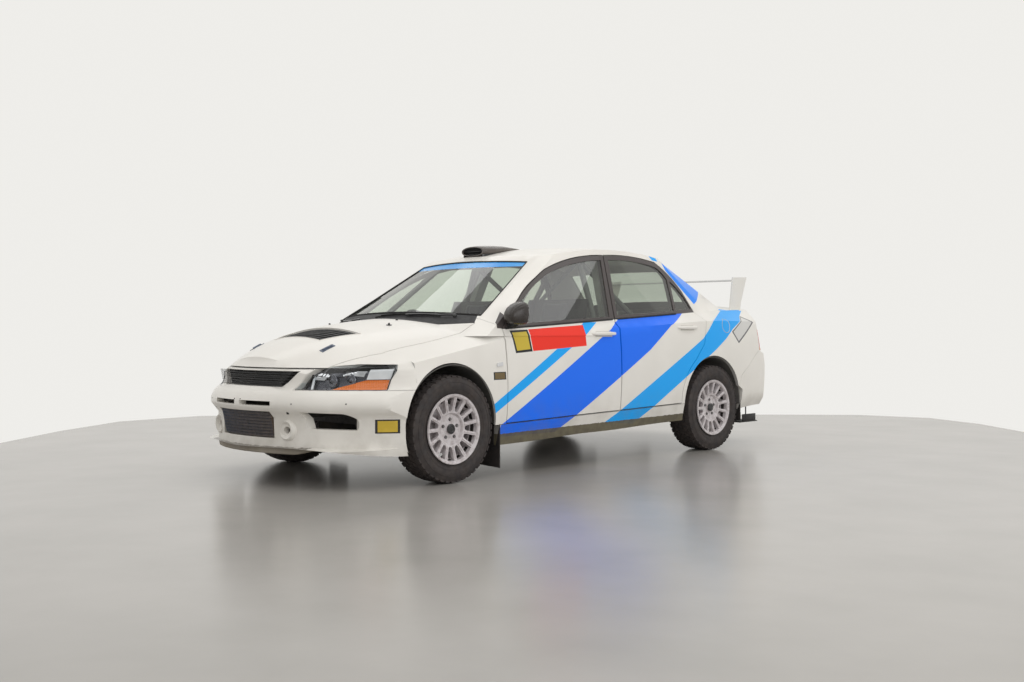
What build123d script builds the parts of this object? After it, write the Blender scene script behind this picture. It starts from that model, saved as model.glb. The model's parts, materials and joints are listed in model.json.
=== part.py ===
from build123d import *
import os
from collections import namedtuple

os.makedirs("parts", exist_ok=True)

# Four-door rally saloon. Millimetres, +Z up, the nose towards -Y and the car's left side on +X.
# The origin is on the ground, midway between the two bumpers.

WHEELBASE = 2625
FRONT_AXLE = -1315
REAR_AXLE = FRONT_AXLE + WHEELBASE
TYRE_R = 318
WHEEL_X = 762
HUB_Z = 318
KINGPIN_X = 700

SIDE_WALL = 60
BONNET_WALL = 25
BUMPER_WALL = 45
CABIN_WALL = 34
GLASS = 6
GAP = 6
DOOR_SLANT = 0.34
FAR = 3000

ARCH_R = 354
ARCH_AFT = -18
ARCH_Z = 352
HOUSE_Z = 330
HOUSE_R = 368
HOUSE_INNER_X = 400
HOUSE_OUTER_X = 848


def station(aft):
    """The place along the car of something this far behind the front axle."""
    return FRONT_AXLE + aft


def blend(low, high, share):
    """The value this share of the way from low to high."""
    return low + (high - low) * share


# The lower body's half sections, in order from the nose. Each is closed by lines and arcs:
# floor, sill tuck, side through its widest point, shoulder, and a deck arc over the centreline.
Section = namedtuple(
    "Section", "aft floor_x floor_z low_x low_z side_x side_z shoulder_x shoulder_z deck_x deck_z crown_z"
)
SECTIONS = [
    Section(-1000, 560, 210, 640, 300, 655, 400, 620, 500, 560, 545, 640),
    Section(-600, 740, 205, 785, 300, 800, 450, 775, 610, 600, 665, 822),
    Section(-370, 840, 188, 858, 300, 868, 500, 830, 690, 640, 768, 893),
    Section(0, 845, 190, 868, 300, 878, 520, 846, 765, 666, 838, 957),
    Section(420, 830, 196, 862, 325, 860, 600, 834, 835, 788, 897, 985),
    Section(860, 830, 207, 862, 335, 860, 610, 833, 862, 786, 924, 998),
    Section(1300, 830, 218, 862, 345, 860, 620, 832, 890, 784, 950, 1012),
    Section(1750, 831, 229, 863, 353, 863, 635, 836, 918, 778, 977, 1034),
    Section(2200, 832, 240, 864, 362, 868, 650, 838, 945, 766, 1004, 1060),
    Section(2625, 840, 255, 868, 350, 878, 620, 842, 965, 735, 1030, 1092),
    Section(3050, 815, 290, 852, 360, 866, 620, 822, 965, 700, 1050, 1106),
    Section(3400, 770, 305, 806, 370, 822, 620, 776, 965, 670, 1056, 1104),
    Section(3700, 700, 310, 735, 380, 752, 620, 706, 950, 620, 1040, 1090),
]

# The nose and the tail are turned about upright axes: rows of radius and height, from below.
NOSE_AXIS = 110
NOSE = [(1000, 120), (1040, 205), (1047, 222), (985, 236), (988, 400), (1031, 455), (1031, 490), (1012, 530),
        (966, 572), (951, 602), (946, 668), (905, 720), (700, 900)]
TAIL_AXIS = 1665
TAIL = [(1800, 120), (1862, 250), (1900, 350), (1902, 620), (1885, 712), (1848, 726), (1836, 760), (1800, 1075),
        (1770, 1120)]

# The cabin's outline at two heights. Between and beyond them it changes evenly.
Outline = namedtuple("Outline", "z screen_x screen mid_screen front_x front side_x rear_x rear corner_x corner mid_rear")
BELT = Outline(951, 703, 342, 185, 787, 440, 800, 765, 2800, 706, 3170, 3320)
EAVE = Outline(1371, 553, 1011, 895, 608, 1090, 618, 590, 2380, 520, 2500, 2600)
CABIN_LOW = 860
CABIN_HIGH = 1525
SIDE_MIDDLE = 1500

ROOF_TOP = 1498
ROOF_PEAK = 1800
ROOF_LONG_R = 3800
ROOF_CROSS_R = 5000


def lower_mass(side=0, top=0):
    """The lower body as a solid, or its hollow when the walls are given."""
    drop = side and 200
    with BuildPart() as mass:
        for s in SECTIONS:
            with BuildSketch(Plane.XZ.offset(-station(s.aft))):
                with BuildLine():
                    floor = (s.floor_x - side, s.floor_z - drop)
                    low = (s.low_x - side, s.low_z - drop)
                    widest = (s.side_x - side, s.side_z)
                    shoulder = (s.shoulder_x - side, s.shoulder_z - top)
                    deck = (s.deck_x - side, s.deck_z - top)
                    Line((-floor[0], floor[1]), floor)
                    Line(floor, low)
                    ThreePointArc(low, widest, shoulder)
                    Line(shoulder, deck)
                    ThreePointArc(deck, (0, s.crown_z - top), (-deck[0], deck[1]))
                    Line((-deck[0], deck[1]), (-shoulder[0], shoulder[1]))
                    ThreePointArc(
                        (-shoulder[0], shoulder[1]), (-widest[0], widest[1]), (-low[0], low[1])
                    )
                    Line((-low[0], low[1]), (-floor[0], floor[1]))
                make_face()
        loft()
    return mass.part


def end_cutter(axis_aft, profile, wall, sign):
    """What lies outside the nose or the tail: a block less the turned form."""
    y = station(axis_aft)
    with BuildPart() as cutter:
        with BuildSketch(Plane.XY.offset(profile[0][1] - 220)):
            with Locations((0, y + sign * 1500)):
                Rectangle(2400, 2200)
        extrude(amount=1500)
        with BuildSketch(Plane.XZ.offset(-y)):
            with BuildLine():
                points = [(r - wall, z) for r, z in profile]
                points[0] = (points[0][0], profile[0][1] - 300)
                points[-1] = (points[-1][0], profile[-1][1] + 500)
                Polyline((0, points[0][1]), *points, (0, points[-1][1]), close=True)
            make_face()
        revolve(axis=Axis((0, y, 0), (0, 0, 1)), mode=Mode.SUBTRACT)
    return cutter.part


def cabin_mass(wall=0):
    """The cabin as a solid up to its roof, or its hollow when the wall is given."""
    with BuildPart() as mass:
        for z in (CABIN_LOW, CABIN_HIGH):
            share = (z - BELT.z) / (EAVE.z - BELT.z)
            o = Outline(*[blend(low, high, share) for low, high in zip(BELT, EAVE)])
            screen = (o.screen_x - wall, station(o.screen) + 1.2 * wall)
            front = (o.front_x - 1.1 * wall, station(o.front) + wall)
            rear = (o.rear_x - 1.1 * wall, station(o.rear) - wall)
            corner = (o.corner_x - wall, station(o.corner) - 1.5 * wall)
            with BuildSketch(Plane.XY.offset(z)):
                with BuildLine():
                    for side in (1, -1):
                        Line((side * screen[0], screen[1]), (side * front[0], front[1]))
                        ThreePointArc(
                            (side * front[0], front[1]),
                            (side * (o.side_x - 1.1 * wall), station(SIDE_MIDDLE)),
                            (side * rear[0], rear[1]),
                        )
                        Line((side * rear[0], rear[1]), (side * corner[0], corner[1]))
                    ThreePointArc(screen, (0, station(o.mid_screen) + 1.8 * wall), (-screen[0], screen[1]))
                    ThreePointArc(corner, (0, station(o.mid_rear) - 1.8 * wall), (-corner[0], corner[1]))
                make_face()
        loft(ruled=True)
        add(roof_limit(wall), mode=Mode.INTERSECT)
    return mass.part


def roof_limit(wall):
    """Everything under the roof's double curve."""
    top = ROOF_TOP - wall
    radius = ROOF_LONG_R - wall
    reach = 1900
    fall = radius - (radius**2 - reach**2) ** 0.5
    with BuildPart() as under:
        with BuildSketch(Plane.YZ):
            with BuildLine():
                ends = [(station(ROOF_PEAK) - reach, top - fall), (station(ROOF_PEAK) + reach, top - fall)]
                ThreePointArc(ends[0], (station(ROOF_PEAK), top), ends[1])
                Polyline(ends[1], (ends[1][0], 300), (ends[0][0], 300), ends[0])
            make_face()
        revolve(axis=Axis((0, 0, ROOF_TOP - ROOF_CROSS_R), (0, 1, 0)), revolution_arc=12)
        mirror(about=Plane.YZ)
    return under.part


def trace(outline):
    """Draws a closed outline. A point is reached by a line, a pair of points by an arc through the first."""
    at = outline[0]
    for item in outline[1:] + [outline[0]]:
        if isinstance(item[0], tuple):
            ThreePointArc(at, item[0], item[1])
            at = item[1]
        elif item != at:
            Line(at, item)
            at = item


def placed(outline, place):
    """The outline with every point moved by a function of the point."""
    return [tuple(place(p) for p in item) if isinstance(item[0], tuple) else place(item) for item in outline]


def side_prism(outline, low=0, high=FAR, grow=0):
    """A prism across the car between two half widths, from an outline in distance aft and height."""
    with BuildPart() as prism:
        with BuildSketch(Plane.YZ.offset(low)):
            with BuildLine():
                trace(placed(outline, lambda p: (station(p[0]), p[1])))
            make_face()
            if grow:
                offset(amount=grow)
        extrude(amount=high - low)
    return prism.part


def door_prism(outline, grow=0):
    """A door's prism. Its edges run forward as they go inward, so that the swinging door clears them."""
    plane_x = 900
    depth = 460

    def place(p):
        surface_x = 862 if p[1] < 850 else min(862, 800 - 0.42 * (p[1] - 920))
        return (station(p[0]) + DOOR_SLANT * (plane_x - surface_x), p[1])

    with BuildPart() as prism:
        with BuildSketch(Plane.YZ.offset(plane_x)):
            with BuildLine():
                trace(placed(outline, place))
            make_face()
            if grow:
                offset(amount=grow)
        extrude(amount=depth * (1 + DOOR_SLANT**2) ** 0.5, dir=(-1, -DOOR_SLANT, 0))
    return prism.part


def plan_prism(outline, low, high, grow=0):
    """An upright prism between two heights, from an outline in half width and distance aft."""
    with BuildPart() as prism:
        with BuildSketch(Plane.XY.offset(low)):
            with BuildLine():
                trace(placed(outline, lambda p: (p[0], station(p[1]))))
            make_face()
            if grow:
                offset(amount=grow)
        extrude(amount=high - low)
    return prism.part


def front_prism(outline, fore, aft, grow=0, both=False):
    """A prism along the car between two distances aft, from an outline in width and height."""
    with BuildPart() as prism:
        with BuildSketch(Plane.XZ.offset(-station(fore))):
            with BuildLine():
                trace(outline)
            make_face()
            if grow:
                offset(amount=grow)
        extrude(amount=-(aft - fore))
        if both:
            mirror(about=Plane.YZ)
    return prism.part


def block(low, high):
    """A box between two corners, given as width, distance aft and height."""
    size = [b - a for a, b in zip(low, high)]
    middle = [(a + b) / 2 for a, b in zip(low, high)]
    return Pos(middle[0], station(middle[1]), middle[2]) * Box(*size, mode=Mode.PRIVATE)


def both_sides(part):
    """The part and its mirror image across the car."""
    return Compound(part.solids() + part.mirror(Plane.YZ).solids())


def tube(points, radius):
    """A round tube along straight runs, with a ball at each joint."""
    with BuildPart() as made:
        for a, b in zip(points, points[1:]):
            run = Vector(b) - Vector(a)
            with BuildSketch(Plane(origin=a, z_dir=run)):
                Circle(radius)
            extrude(amount=run.length)
        for joint in points[1:-1]:
            with Locations(joint):
                Sphere(radius + 1)
    return made.part


def keep(part, name):
    """Labels a finished piece and writes it."""
    part.label = name
    export_step(part, f"parts/{name}.step")


def biggest(part):
    """The part without the slivers that a cut leaves."""
    return part.solids().sort_by(SortBy.VOLUME)[-1]


# The body's skin: the lower body and cabin, less their hollow.
nose = end_cutter(NOSE_AXIS, NOSE, 0, -1)
tail = end_cutter(TAIL_AXIS, TAIL, 0, 1)
lower = lower_mass() - nose - tail
cabin = cabin_mass()
inner_nose = end_cutter(NOSE_AXIS, NOSE, BUMPER_WALL, -1)
inner_tail = end_cutter(TAIL_AXIS, TAIL, BUMPER_WALL, 1)
hollow = lower_mass(SIDE_WALL, BONNET_WALL) - inner_nose - inner_tail
with BuildPart() as skin:
    add(lower + cabin)
    add(hollow + cabin_mass(CABIN_WALL), mode=Mode.SUBTRACT)
    for axle in (0, WHEELBASE):
        with BuildSketch(Plane.YZ.offset(-FAR / 2)):
            with Locations((station(axle + ARCH_AFT), ARCH_Z)):
                Circle(ARCH_R)
        extrude(amount=FAR, mode=Mode.SUBTRACT)
        for side in (1, -1):
            with BuildSketch(Plane.YZ.offset(side * HOUSE_INNER_X)):
                with Locations((station(axle), HOUSE_Z)):
                    Circle(HOUSE_R)
            extrude(amount=side * (HOUSE_OUTER_X - HOUSE_INNER_X), mode=Mode.SUBTRACT)


# Where the panels meet. Side outlines are in distance aft and height, plan outlines in half width
# and distance aft, front outlines in half width and height.
BONNET_PLAN = [
    (455, -1100), (455, -715), (600, -475), (645, -376), (664, -92), (690, 318),
    ((0, 140), (-690, 318)), (-664, -92), (-645, -376), (-600, -475), (-455, -715), (-455, -1100),
]
BONNET_LOW = 677
LAMP_FRONT = [(388, 563), (455, 684), (640, 703), (900, 699), (900, 563)]
LAMP_SIDE = [(-1100, 500), (-458, 500), (-456, 556), (-368, 700), (-368, 760), (-1100, 760)]
BUMPER_SIDE = [(-1100, 100), (-250, 100), (-250, 558), (-1100, 558)]
BUMPER_NOSE = [(372, 550), (441, 674), (-441, 674), (-372, 550)]
FENDER_SIDE = [(-1000, 300), (-250, 316), (437, 325), (441, 903), (330, 990), (-1000, 990)]
SKIRT_SIDE = [(374, 100), (2290, 100), (2290, 364), (374, 321)]
SILL_SIDE = [(200, 100), (2290, 100), (2290, 364), (200, 317)]
FRONT_DOOR = [
    (431, 331), (446, 903), ((742, 1142), (1000, 1292)), ((1300, 1381), (1642, 1418)), (1530, 945),
    (1515, 356),
]
REAR_DOOR = [
    (1524, 356), (1544, 945), (1653, 1419), ((1955, 1424), (2256, 1394)), ((2385, 1302), (2478, 1187)),
    (2542, 1022), (2500, 800), (2375, 676), ((2270, 570), (2218, 440)), (2215, 372),
]
FRONT_WINDOW = [
    (512, 932), ((790, 1146), (1014, 1266)), ((1300, 1346), (1608, 1384)), (1500, 988),
]
REAR_WINDOW = [
    (1588, 998), (1690, 1388), ((1950, 1391), (2215, 1364)), ((2288, 1328), (2334, 1272)), (2278, 1036),
]
QUARTER_WINDOW = [(2304, 1041), (2362, 1258), ((2440, 1188), (2505, 1072)), (2508, 1054)]
SCREEN_FRONT = [(676, 984), (520, 1352), ((0, 1368), (-520, 1352)), (-676, 984), ((0, 1006), (676, 984))]
REAR_SCREEN = [(640, 1098), (500, 1338), ((0, 1352), (-500, 1338)), (-640, 1098), ((0, 1128), (640, 1098))]
COWL_PLAN = [(640, 405), (690, 322), ((0, 146), (-690, 322)), (-640, 405)]
ROOF_PLAN = [
    (500, 900), (528, 1200), (532, 1900), (495, 2400), (470, 2700),
    (-470, 2700), (-495, 2400), (-532, 1900), (-528, 1200), (-500, 900),
]
LID_PLAN = [
    (690, 3040), (655, 3460), (655, 3700), (-655, 3700), (-655, 3460), (-690, 3040), ((0, 3105), (690, 3040)),
]
LID_FACE = [(560, 722), (560, 905), (655, 912), (655, 1200), (-655, 1200), (-655, 912), (-560, 905), (-560, 722)]
LAMP_REAR = [(566, 738), (566, 900), (900, 900), (900, 738)]
REAR_BUMPER_SIDE = [(3006, 100), (3006, 440), (2948, 470), (2990, 551), (3251, 722), (3800, 722), (3800, 100)]
TAIL_SIDE = [(2900, 100), (2900, 470), (2948, 470), (2990, 551), (3251, 722), (3800, 722), (3800, 100)]
SHELF_PLAN = [(690, 2600), (690, 3034), ((0, 3099), (-690, 3034)), (-690, 2600)]

bonnet_room = plan_prism(BONNET_PLAN, BONNET_LOW, 1150, GAP)
lamp_room = front_prism(LAMP_FRONT, -1100, -300, 2) & side_prism(LAMP_SIDE, 300, 950, 2)
bumper_room = side_prism(BUMPER_SIDE, -950, 950, 2)
nose_room = front_prism(BUMPER_NOSE, -1100, -500, 2)
cowl_room = plan_prism(COWL_PLAN, 840, 1030)

# Bonnet, hinged along its rear edge.
VENT_PLAN = [(235, -502), (350, -293), (-350, -293), (-235, -502)]
VENT_DROP = 8
VENT_SLOTS = 6
with BuildPart() as bonnet:
    add(skin.part)
    add(plan_prism(BONNET_PLAN, BONNET_LOW + GAP, 1150), mode=Mode.INTERSECT)
    add(plan_prism(VENT_PLAN, 600, 1150), mode=Mode.SUBTRACT)
keep(bonnet.part, "bonnet")

# The bonnet's air vent: a panel sunk into the opening, with slots across it.
with BuildPart() as vent:
    add(skin.part.moved(Location((0, 0, -VENT_DROP))))
    add(plan_prism(VENT_PLAN, 600, 1150), mode=Mode.INTERSECT)
    for row in range(VENT_SLOTS):
        aft = -484 + 30 * row
        half = 235 + 0.55 * (aft + 502) - 22
        add(plan_prism([(half, aft), (half + 8, aft + 17), (-half - 8, aft + 17), (-half, aft)], 600, 1150),
            mode=Mode.SUBTRACT)
keep(vent.part, "bonnet_vent")

# Front bumper, with its openings.
GRILLE_HOLE = [(388, 664), (-388, 664), (-296, 574), (296, 574)]
SLOT = [(26, 469), (281, 469), (281, 495), (26, 495)]
COOLER_HOLE = [(262, 436), (-262, 436), (-266, 284), (266, 284)]
FOG_HOLE = [(452, 438), (655, 431), ((683, 420), (700, 338)), (476, 345)]
with BuildPart() as front_bumper:
    add(skin.part)
    add(side_prism(BUMPER_SIDE, -950, 950) + front_prism(BUMPER_NOSE, -1100, -500), mode=Mode.INTERSECT)
    for outline, paired in ((GRILLE_HOLE, False), (SLOT, True), (COOLER_HOLE, False), (FOG_HOLE, True)):
        add(front_prism(outline, -1100, -560, both=paired), mode=Mode.SUBTRACT)
    for side in (1, -1):
        with BuildSketch(Plane.XZ.offset(-station(-1100))):
            with Locations((side * 350, 333)):
                Circle(20)
        extrude(amount=-500, mode=Mode.SUBTRACT)
keep(front_bumper.part, "front_bumper")

# Headlamps, one closed unit each side.
with BuildPart() as headlamp:
    add(skin.part)
    add(front_prism(LAMP_FRONT, -1100, -300) & side_prism(LAMP_SIDE, 300, 950), mode=Mode.INTERSECT)
    add(plan_prism(BONNET_PLAN, 600, 1150, GAP), mode=Mode.SUBTRACT)
keep(both_sides(headlamp.part), "headlamps")

# The left half of what remains gives the panels that come in pairs.
with BuildPart() as flank:
    add(skin.part)
    with BuildSketch(Plane.XY.offset(0)):
        with Locations((FAR / 2, 0)):
            Rectangle(FAR, 2 * FAR)
    extrude(amount=FAR, mode=Mode.INTERSECT)
    add(bonnet_room, mode=Mode.SUBTRACT)

with BuildPart() as skirt:
    add(flank.part)
    add(side_prism(SKIRT_SIDE, 0, 950), mode=Mode.INTERSECT)
keep(both_sides(skirt.part), "side_skirts")

# Doors with their windows.
front_opening = door_prism(FRONT_DOOR, GAP)
rear_opening = door_prism(REAR_DOOR, GAP)
with BuildPart() as fender:
    add(flank.part)
    add(side_prism(FENDER_SIDE, 0, 950), mode=Mode.INTERSECT)
    add(bumper_room + nose_room + lamp_room + cowl_room + front_opening, mode=Mode.SUBTRACT)
keep(both_sides(biggest(fender.part)), "front_fenders")

with BuildPart() as front_door:
    add(flank.part)
    add(door_prism(FRONT_DOOR), mode=Mode.INTERSECT)
    add(side_prism(FRONT_WINDOW, 400, 950), mode=Mode.SUBTRACT)
with BuildPart() as rear_door:
    add(flank.part)
    add(door_prism(REAR_DOOR), mode=Mode.INTERSECT)
    add(side_prism(REAR_WINDOW, 400, 950) + side_prism(QUARTER_WINDOW, 400, 950), mode=Mode.SUBTRACT)

# Screens and door windows, thin shells set a little into the frames.
with BuildPart() as pane:
    add(cabin_mass(5))
    add(cabin_mass(5 + GLASS), mode=Mode.SUBTRACT)
windscreen = pane.part & front_prism(SCREEN_FRONT, 0, 1400)
keep(windscreen, "windscreen")
rear_screen = pane.part & front_prism(REAR_SCREEN, 2200, 3500)
keep(rear_screen, "rear_window")
front_glass = pane.part & side_prism(FRONT_WINDOW, 400, 950)
rear_glass = pane.part & (side_prism(REAR_WINDOW, 400, 950) + side_prism(QUARTER_WINDOW, 400, 950))

# Roof, cowl, parcel shelf and boot lid, which cross the car.
screen_room = front_prism(SCREEN_FRONT, 0, 1400)
rear_screen_room = front_prism(REAR_SCREEN, 2200, 3500)
with BuildPart() as roof_panel:
    add(skin.part)
    add(plan_prism(ROOF_PLAN, 1300, 1600), mode=Mode.INTERSECT)
    add(screen_room + rear_screen_room, mode=Mode.SUBTRACT)
keep(roof_panel.part, "roof_panel")

with BuildPart() as cowl:
    add(skin.part)
    add(cowl_room, mode=Mode.INTERSECT)
    add(screen_room + bonnet_room, mode=Mode.SUBTRACT)
keep(biggest(cowl.part), "cowl_panel")

shelf_room = plan_prism(SHELF_PLAN, 880, 1140)
with BuildPart() as shelf:
    add(skin.part)
    add(shelf_room, mode=Mode.INTERSECT)
    add(rear_screen_room, mode=Mode.SUBTRACT)
keep(shelf.part, "rear_shelf")

lid_room = plan_prism(LID_PLAN, 960, 1400, GAP) + front_prism(LID_FACE, 3350, 3800, GAP)
with BuildPart() as boot_lid:
    add(skin.part)
    add(plan_prism(LID_PLAN, 1022, 1400) + front_prism(LID_FACE, 3350, 3800), mode=Mode.INTERSECT)
keep(boot_lid.part, "boot_lid")

rear_bumper_room = side_prism(TAIL_SIDE, -950, 950, 2)
with BuildPart() as rear_bumper:
    add(skin.part)
    add(side_prism(REAR_BUMPER_SIDE, -950, 950), mode=Mode.INTERSECT)
keep(rear_bumper.part, "rear_bumper")

rear_lamp_room = front_prism(LAMP_REAR, 3290, 3800, 2)
with BuildPart() as tail_lamp:
    add(flank.part)
    add(front_prism(LAMP_REAR, 3290, 3800), mode=Mode.INTERSECT)
keep(both_sides(tail_lamp.part), "tail_lamps")

# Body side: pillars, roof rail and rear quarter.
with BuildPart() as body_side:
    add(flank.part)
    add(side_prism(SILL_SIDE, -10, 950, 2), mode=Mode.SUBTRACT)
    add(front_opening + rear_opening, mode=Mode.SUBTRACT)
    add(side_prism(FENDER_SIDE, -10, 950, 2) + bumper_room + nose_room + lamp_room, mode=Mode.SUBTRACT)
    add(screen_room + rear_screen_room + cowl_room + shelf_room, mode=Mode.SUBTRACT)
    add(plan_prism(ROOF_PLAN, 1300, 1600), mode=Mode.SUBTRACT)
    add(lid_room, mode=Mode.SUBTRACT)
    add(rear_bumper_room + rear_lamp_room, mode=Mode.SUBTRACT)
keep(biggest(body_side.part), "body_side_left")
keep(biggest(body_side.part).mirror(Plane.YZ), "body_side_right")

# Floor pan: a sheet with the tunnel, the kick-up before the rear axle and the boot floor.
FLOOR_Z = 262
SHEET = 12
TUNNEL_TOP = 410
BOOT_Z = 440
PAD_Z = 228
FLOOR_SECTION = [
    (-835, FLOOR_Z), (-150, FLOOR_Z), (-120, TUNNEL_TOP), (120, TUNNEL_TOP), (150, FLOOR_Z), (835, FLOOR_Z),
    (835, FLOOR_Z + SHEET), (158, FLOOR_Z + SHEET), (128, TUNNEL_TOP + SHEET), (-128, TUNNEL_TOP + SHEET),
    (-158, FLOOR_Z + SHEET), (-835, FLOOR_Z + SHEET),
]
with BuildPart() as floor_pan:
    add(front_prism(FLOOR_SECTION, 397, 2226))
    add(block((-795, 2214, FLOOR_Z), (795, 2226, BOOT_Z + SHEET)))
    add(block((-175, 2200, FLOOR_Z - 1), (120, 2240, BOOT_Z - 30)), mode=Mode.SUBTRACT)
    add(block((-355, 2214, BOOT_Z), (355, 3000, BOOT_Z + SHEET)))
    add(block((-790, 2994, BOOT_Z), (790, 3470, BOOT_Z + SHEET)))
    add(skin.part, mode=Mode.SUBTRACT)
    for aft in (520, 2080):
        for side in (-1, 1):
            add(block((side * 725 - 35, aft - 40, PAD_Z), (side * 725 + 35, aft + 40, FLOOR_Z)))
keep(biggest(floor_pan.part), "floor_pan")

with BuildPart() as bulkhead:
    add(block((-790, 385, FLOOR_Z), (790, 397, 990)))
    add(skin.part, mode=Mode.SUBTRACT)
    with BuildSketch(Plane.XZ.offset(-station(380))):
        with Locations((0, FLOOR_Z + 40)):
            Rectangle(200, 160)
    extrude(amount=-30, mode=Mode.SUBTRACT)
keep(biggest(bulkhead.part), "bulkhead")

# B-posts, inside the doors.
POST = [(288, 1500, 1590, 742, 790), (900, 1515, 1600, 700, 752), (1425, 1610, 1680, 500, 548)]
with BuildPart() as post:
    for low, high in zip(POST, POST[1:]):
        for z, fore, aft, inner, outside in (low, high):
            with BuildSketch(Plane.XY.offset(z)):
                with Locations(((inner + outside) / 2, station((fore + aft) / 2))):
                    Rectangle(outside - inner, aft - fore)
        loft(ruled=True)
    add(cabin_mass(CABIN_WALL) + block((600, 1400, 274), (850, 1700, 900)), mode=Mode.INTERSECT)

# Wheelhouse liners: a band over the tyre and a wall inboard of it.
LINER = 6
WALL_LOW = 470
for name, axle in (("front_liners", 0), ("rear_liners", WHEELBASE)):
    with BuildPart() as liner:
        with BuildSketch(Plane.YZ.offset(HOUSE_INNER_X)):
            with Locations((station(axle), HOUSE_Z)):
                Circle(HOUSE_R)
                Circle(HOUSE_R - LINER, mode=Mode.SUBTRACT)
            with Locations((station(axle), HOUSE_Z - HOUSE_R)):
                Rectangle(900, 2 * HOUSE_R, mode=Mode.SUBTRACT)
        extrude(amount=HOUSE_OUTER_X - HOUSE_INNER_X)
        with BuildSketch(Plane.YZ.offset(HOUSE_INNER_X)):
            with Locations((station(axle), HOUSE_Z)):
                Circle(HOUSE_R - LINER / 2)
            with Locations((station(axle), WALL_LOW - HOUSE_R)):
                Rectangle(900, 2 * HOUSE_R, mode=Mode.SUBTRACT)
        extrude(amount=LINER)
        add(lower, mode=Mode.INTERSECT)
    keep(both_sides(biggest(liner.part)), name)

# Engine, one plain block.
with BuildPart() as engine:
    with BuildSketch(Plane.XY.offset(330)):
        with Locations((0, station(-70))):
            Rectangle(640, 440)
    extrude(amount=440)
    fillet(engine.edges().filter_by(Axis.Z), 30)
    chamfer(engine.faces().sort_by(Axis.Z)[-1].edges(), 25)
keep(engine.part, "engine_block")

# Suspension: rails and crossmember, arms and struts.
ARM_LOW = 205
ARM_HIGH = 428
ARM = 18
STRUT_X = 585
PIN_R = 9
FIT = 0.05
KNUCKLE_LOW = ARM_LOW + ARM + 2
KNUCKLE_HIGH = ARM_HIGH - 2


def arm(axle, z, thick, root=70, tip=24):
    """A flat wishbone from the rail to the kingpin."""
    outline = [(360, -root), (KINGPIN_X, -tip), ((KINGPIN_X + tip, 0), (KINGPIN_X, tip)), (360, root)]
    return plan_prism(placed(outline, lambda p: (p[0], p[1] + axle)), z, z + thick)


def strut(axle):
    """A spring strut from the upper arm to the wheelhouse roof."""
    with BuildPart() as made:
        with BuildSketch(Plane.XY.offset(ARM_HIGH)):
            with Locations((STRUT_X, station(axle))):
                Circle(26)
        extrude(amount=300)
        with BuildSketch(Plane.XY.offset(ARM_HIGH + 70)):
            with Locations((STRUT_X, station(axle))):
                Circle(42)
        extrude(amount=300)
        for turn in range(6):
            with BuildSketch(Plane.XY.offset(ARM_HIGH + 76 + 28 * turn)):
                with Locations((STRUT_X, station(axle))):
                    Circle(50)
            extrude(amount=12)
        with BuildSketch(Plane.YZ):
            with Locations((station(axle), HOUSE_Z)):
                Circle(HOUSE_R - LINER)
        extrude(amount=FAR, mode=Mode.INTERSECT)
    return made.part


def kingpin_hole(axle):
    """The upright hole through both arms' tips."""
    with BuildPart() as hole:
        with BuildSketch(Plane.XY.offset(ARM_LOW - 5)):
            with Locations((KINGPIN_X, station(axle))):
                Circle(PIN_R + FIT)
        extrude(amount=ARM_HIGH + ARM - ARM_LOW + 10)
    return hole.part


with BuildPart() as front_side:
    add(block((340, -700, 400), (395, 385, 500)))
    add(block((325, -700, 300), (399, -690, 500)))
    add(block((0, -60, 193), (395, 60, 330)))
    add(block((345, -60, 300), (395, 60, 420)))
    add(arm(0, ARM_LOW, ARM))
    add(arm(0, ARM_HIGH, ARM))
    add(kingpin_hole(0), mode=Mode.SUBTRACT)
    add(strut(0))
    with BuildSketch(Plane.XZ.offset(-station(-695))):
        with Locations((350, 333)):
            Circle(14)
    extrude(amount=95)
    with BuildSketch(Plane.XZ.offset(-station(-790))):
        with Locations((350, 333)):
            Circle(8)
    extrude(amount=-50, mode=Mode.SUBTRACT)
with BuildPart() as front_suspension:
    add(front_side.part)
    mirror(about=Plane.YZ)
keep(front_suspension.part, "front_subframe")

SPINDLE_R = 20
SPINDLE_TIP = WHEEL_X + 33
with BuildPart() as rear_side:
    add(block((0, WHEELBASE - 70, 290), (395, WHEELBASE + 70, 370)))
    add(block((300, WHEELBASE - 60, 360), (380, WHEELBASE + 60, BOOT_Z)))
    add(block((345, WHEELBASE - 60, ARM_LOW), (395, WHEELBASE + 60, 420)))
    add(arm(WHEELBASE, ARM_LOW, ARM))
    add(arm(WHEELBASE, ARM_HIGH, ARM))
    add(block((675, WHEELBASE - 30, ARM_LOW), (724, WHEELBASE + 30, ARM_HIGH + ARM)))
    add(strut(WHEELBASE))
    with BuildSketch(Plane.YZ.offset(KINGPIN_X)):
        with Locations((REAR_AXLE, HUB_Z)):
            Circle(SPINDLE_R)
    extrude(amount=SPINDLE_TIP - KINGPIN_X)
with BuildPart() as rear_suspension:
    add(rear_side.part)
    mirror(about=Plane.YZ)
keep(rear_suspension.part, "rear_suspension")

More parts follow.
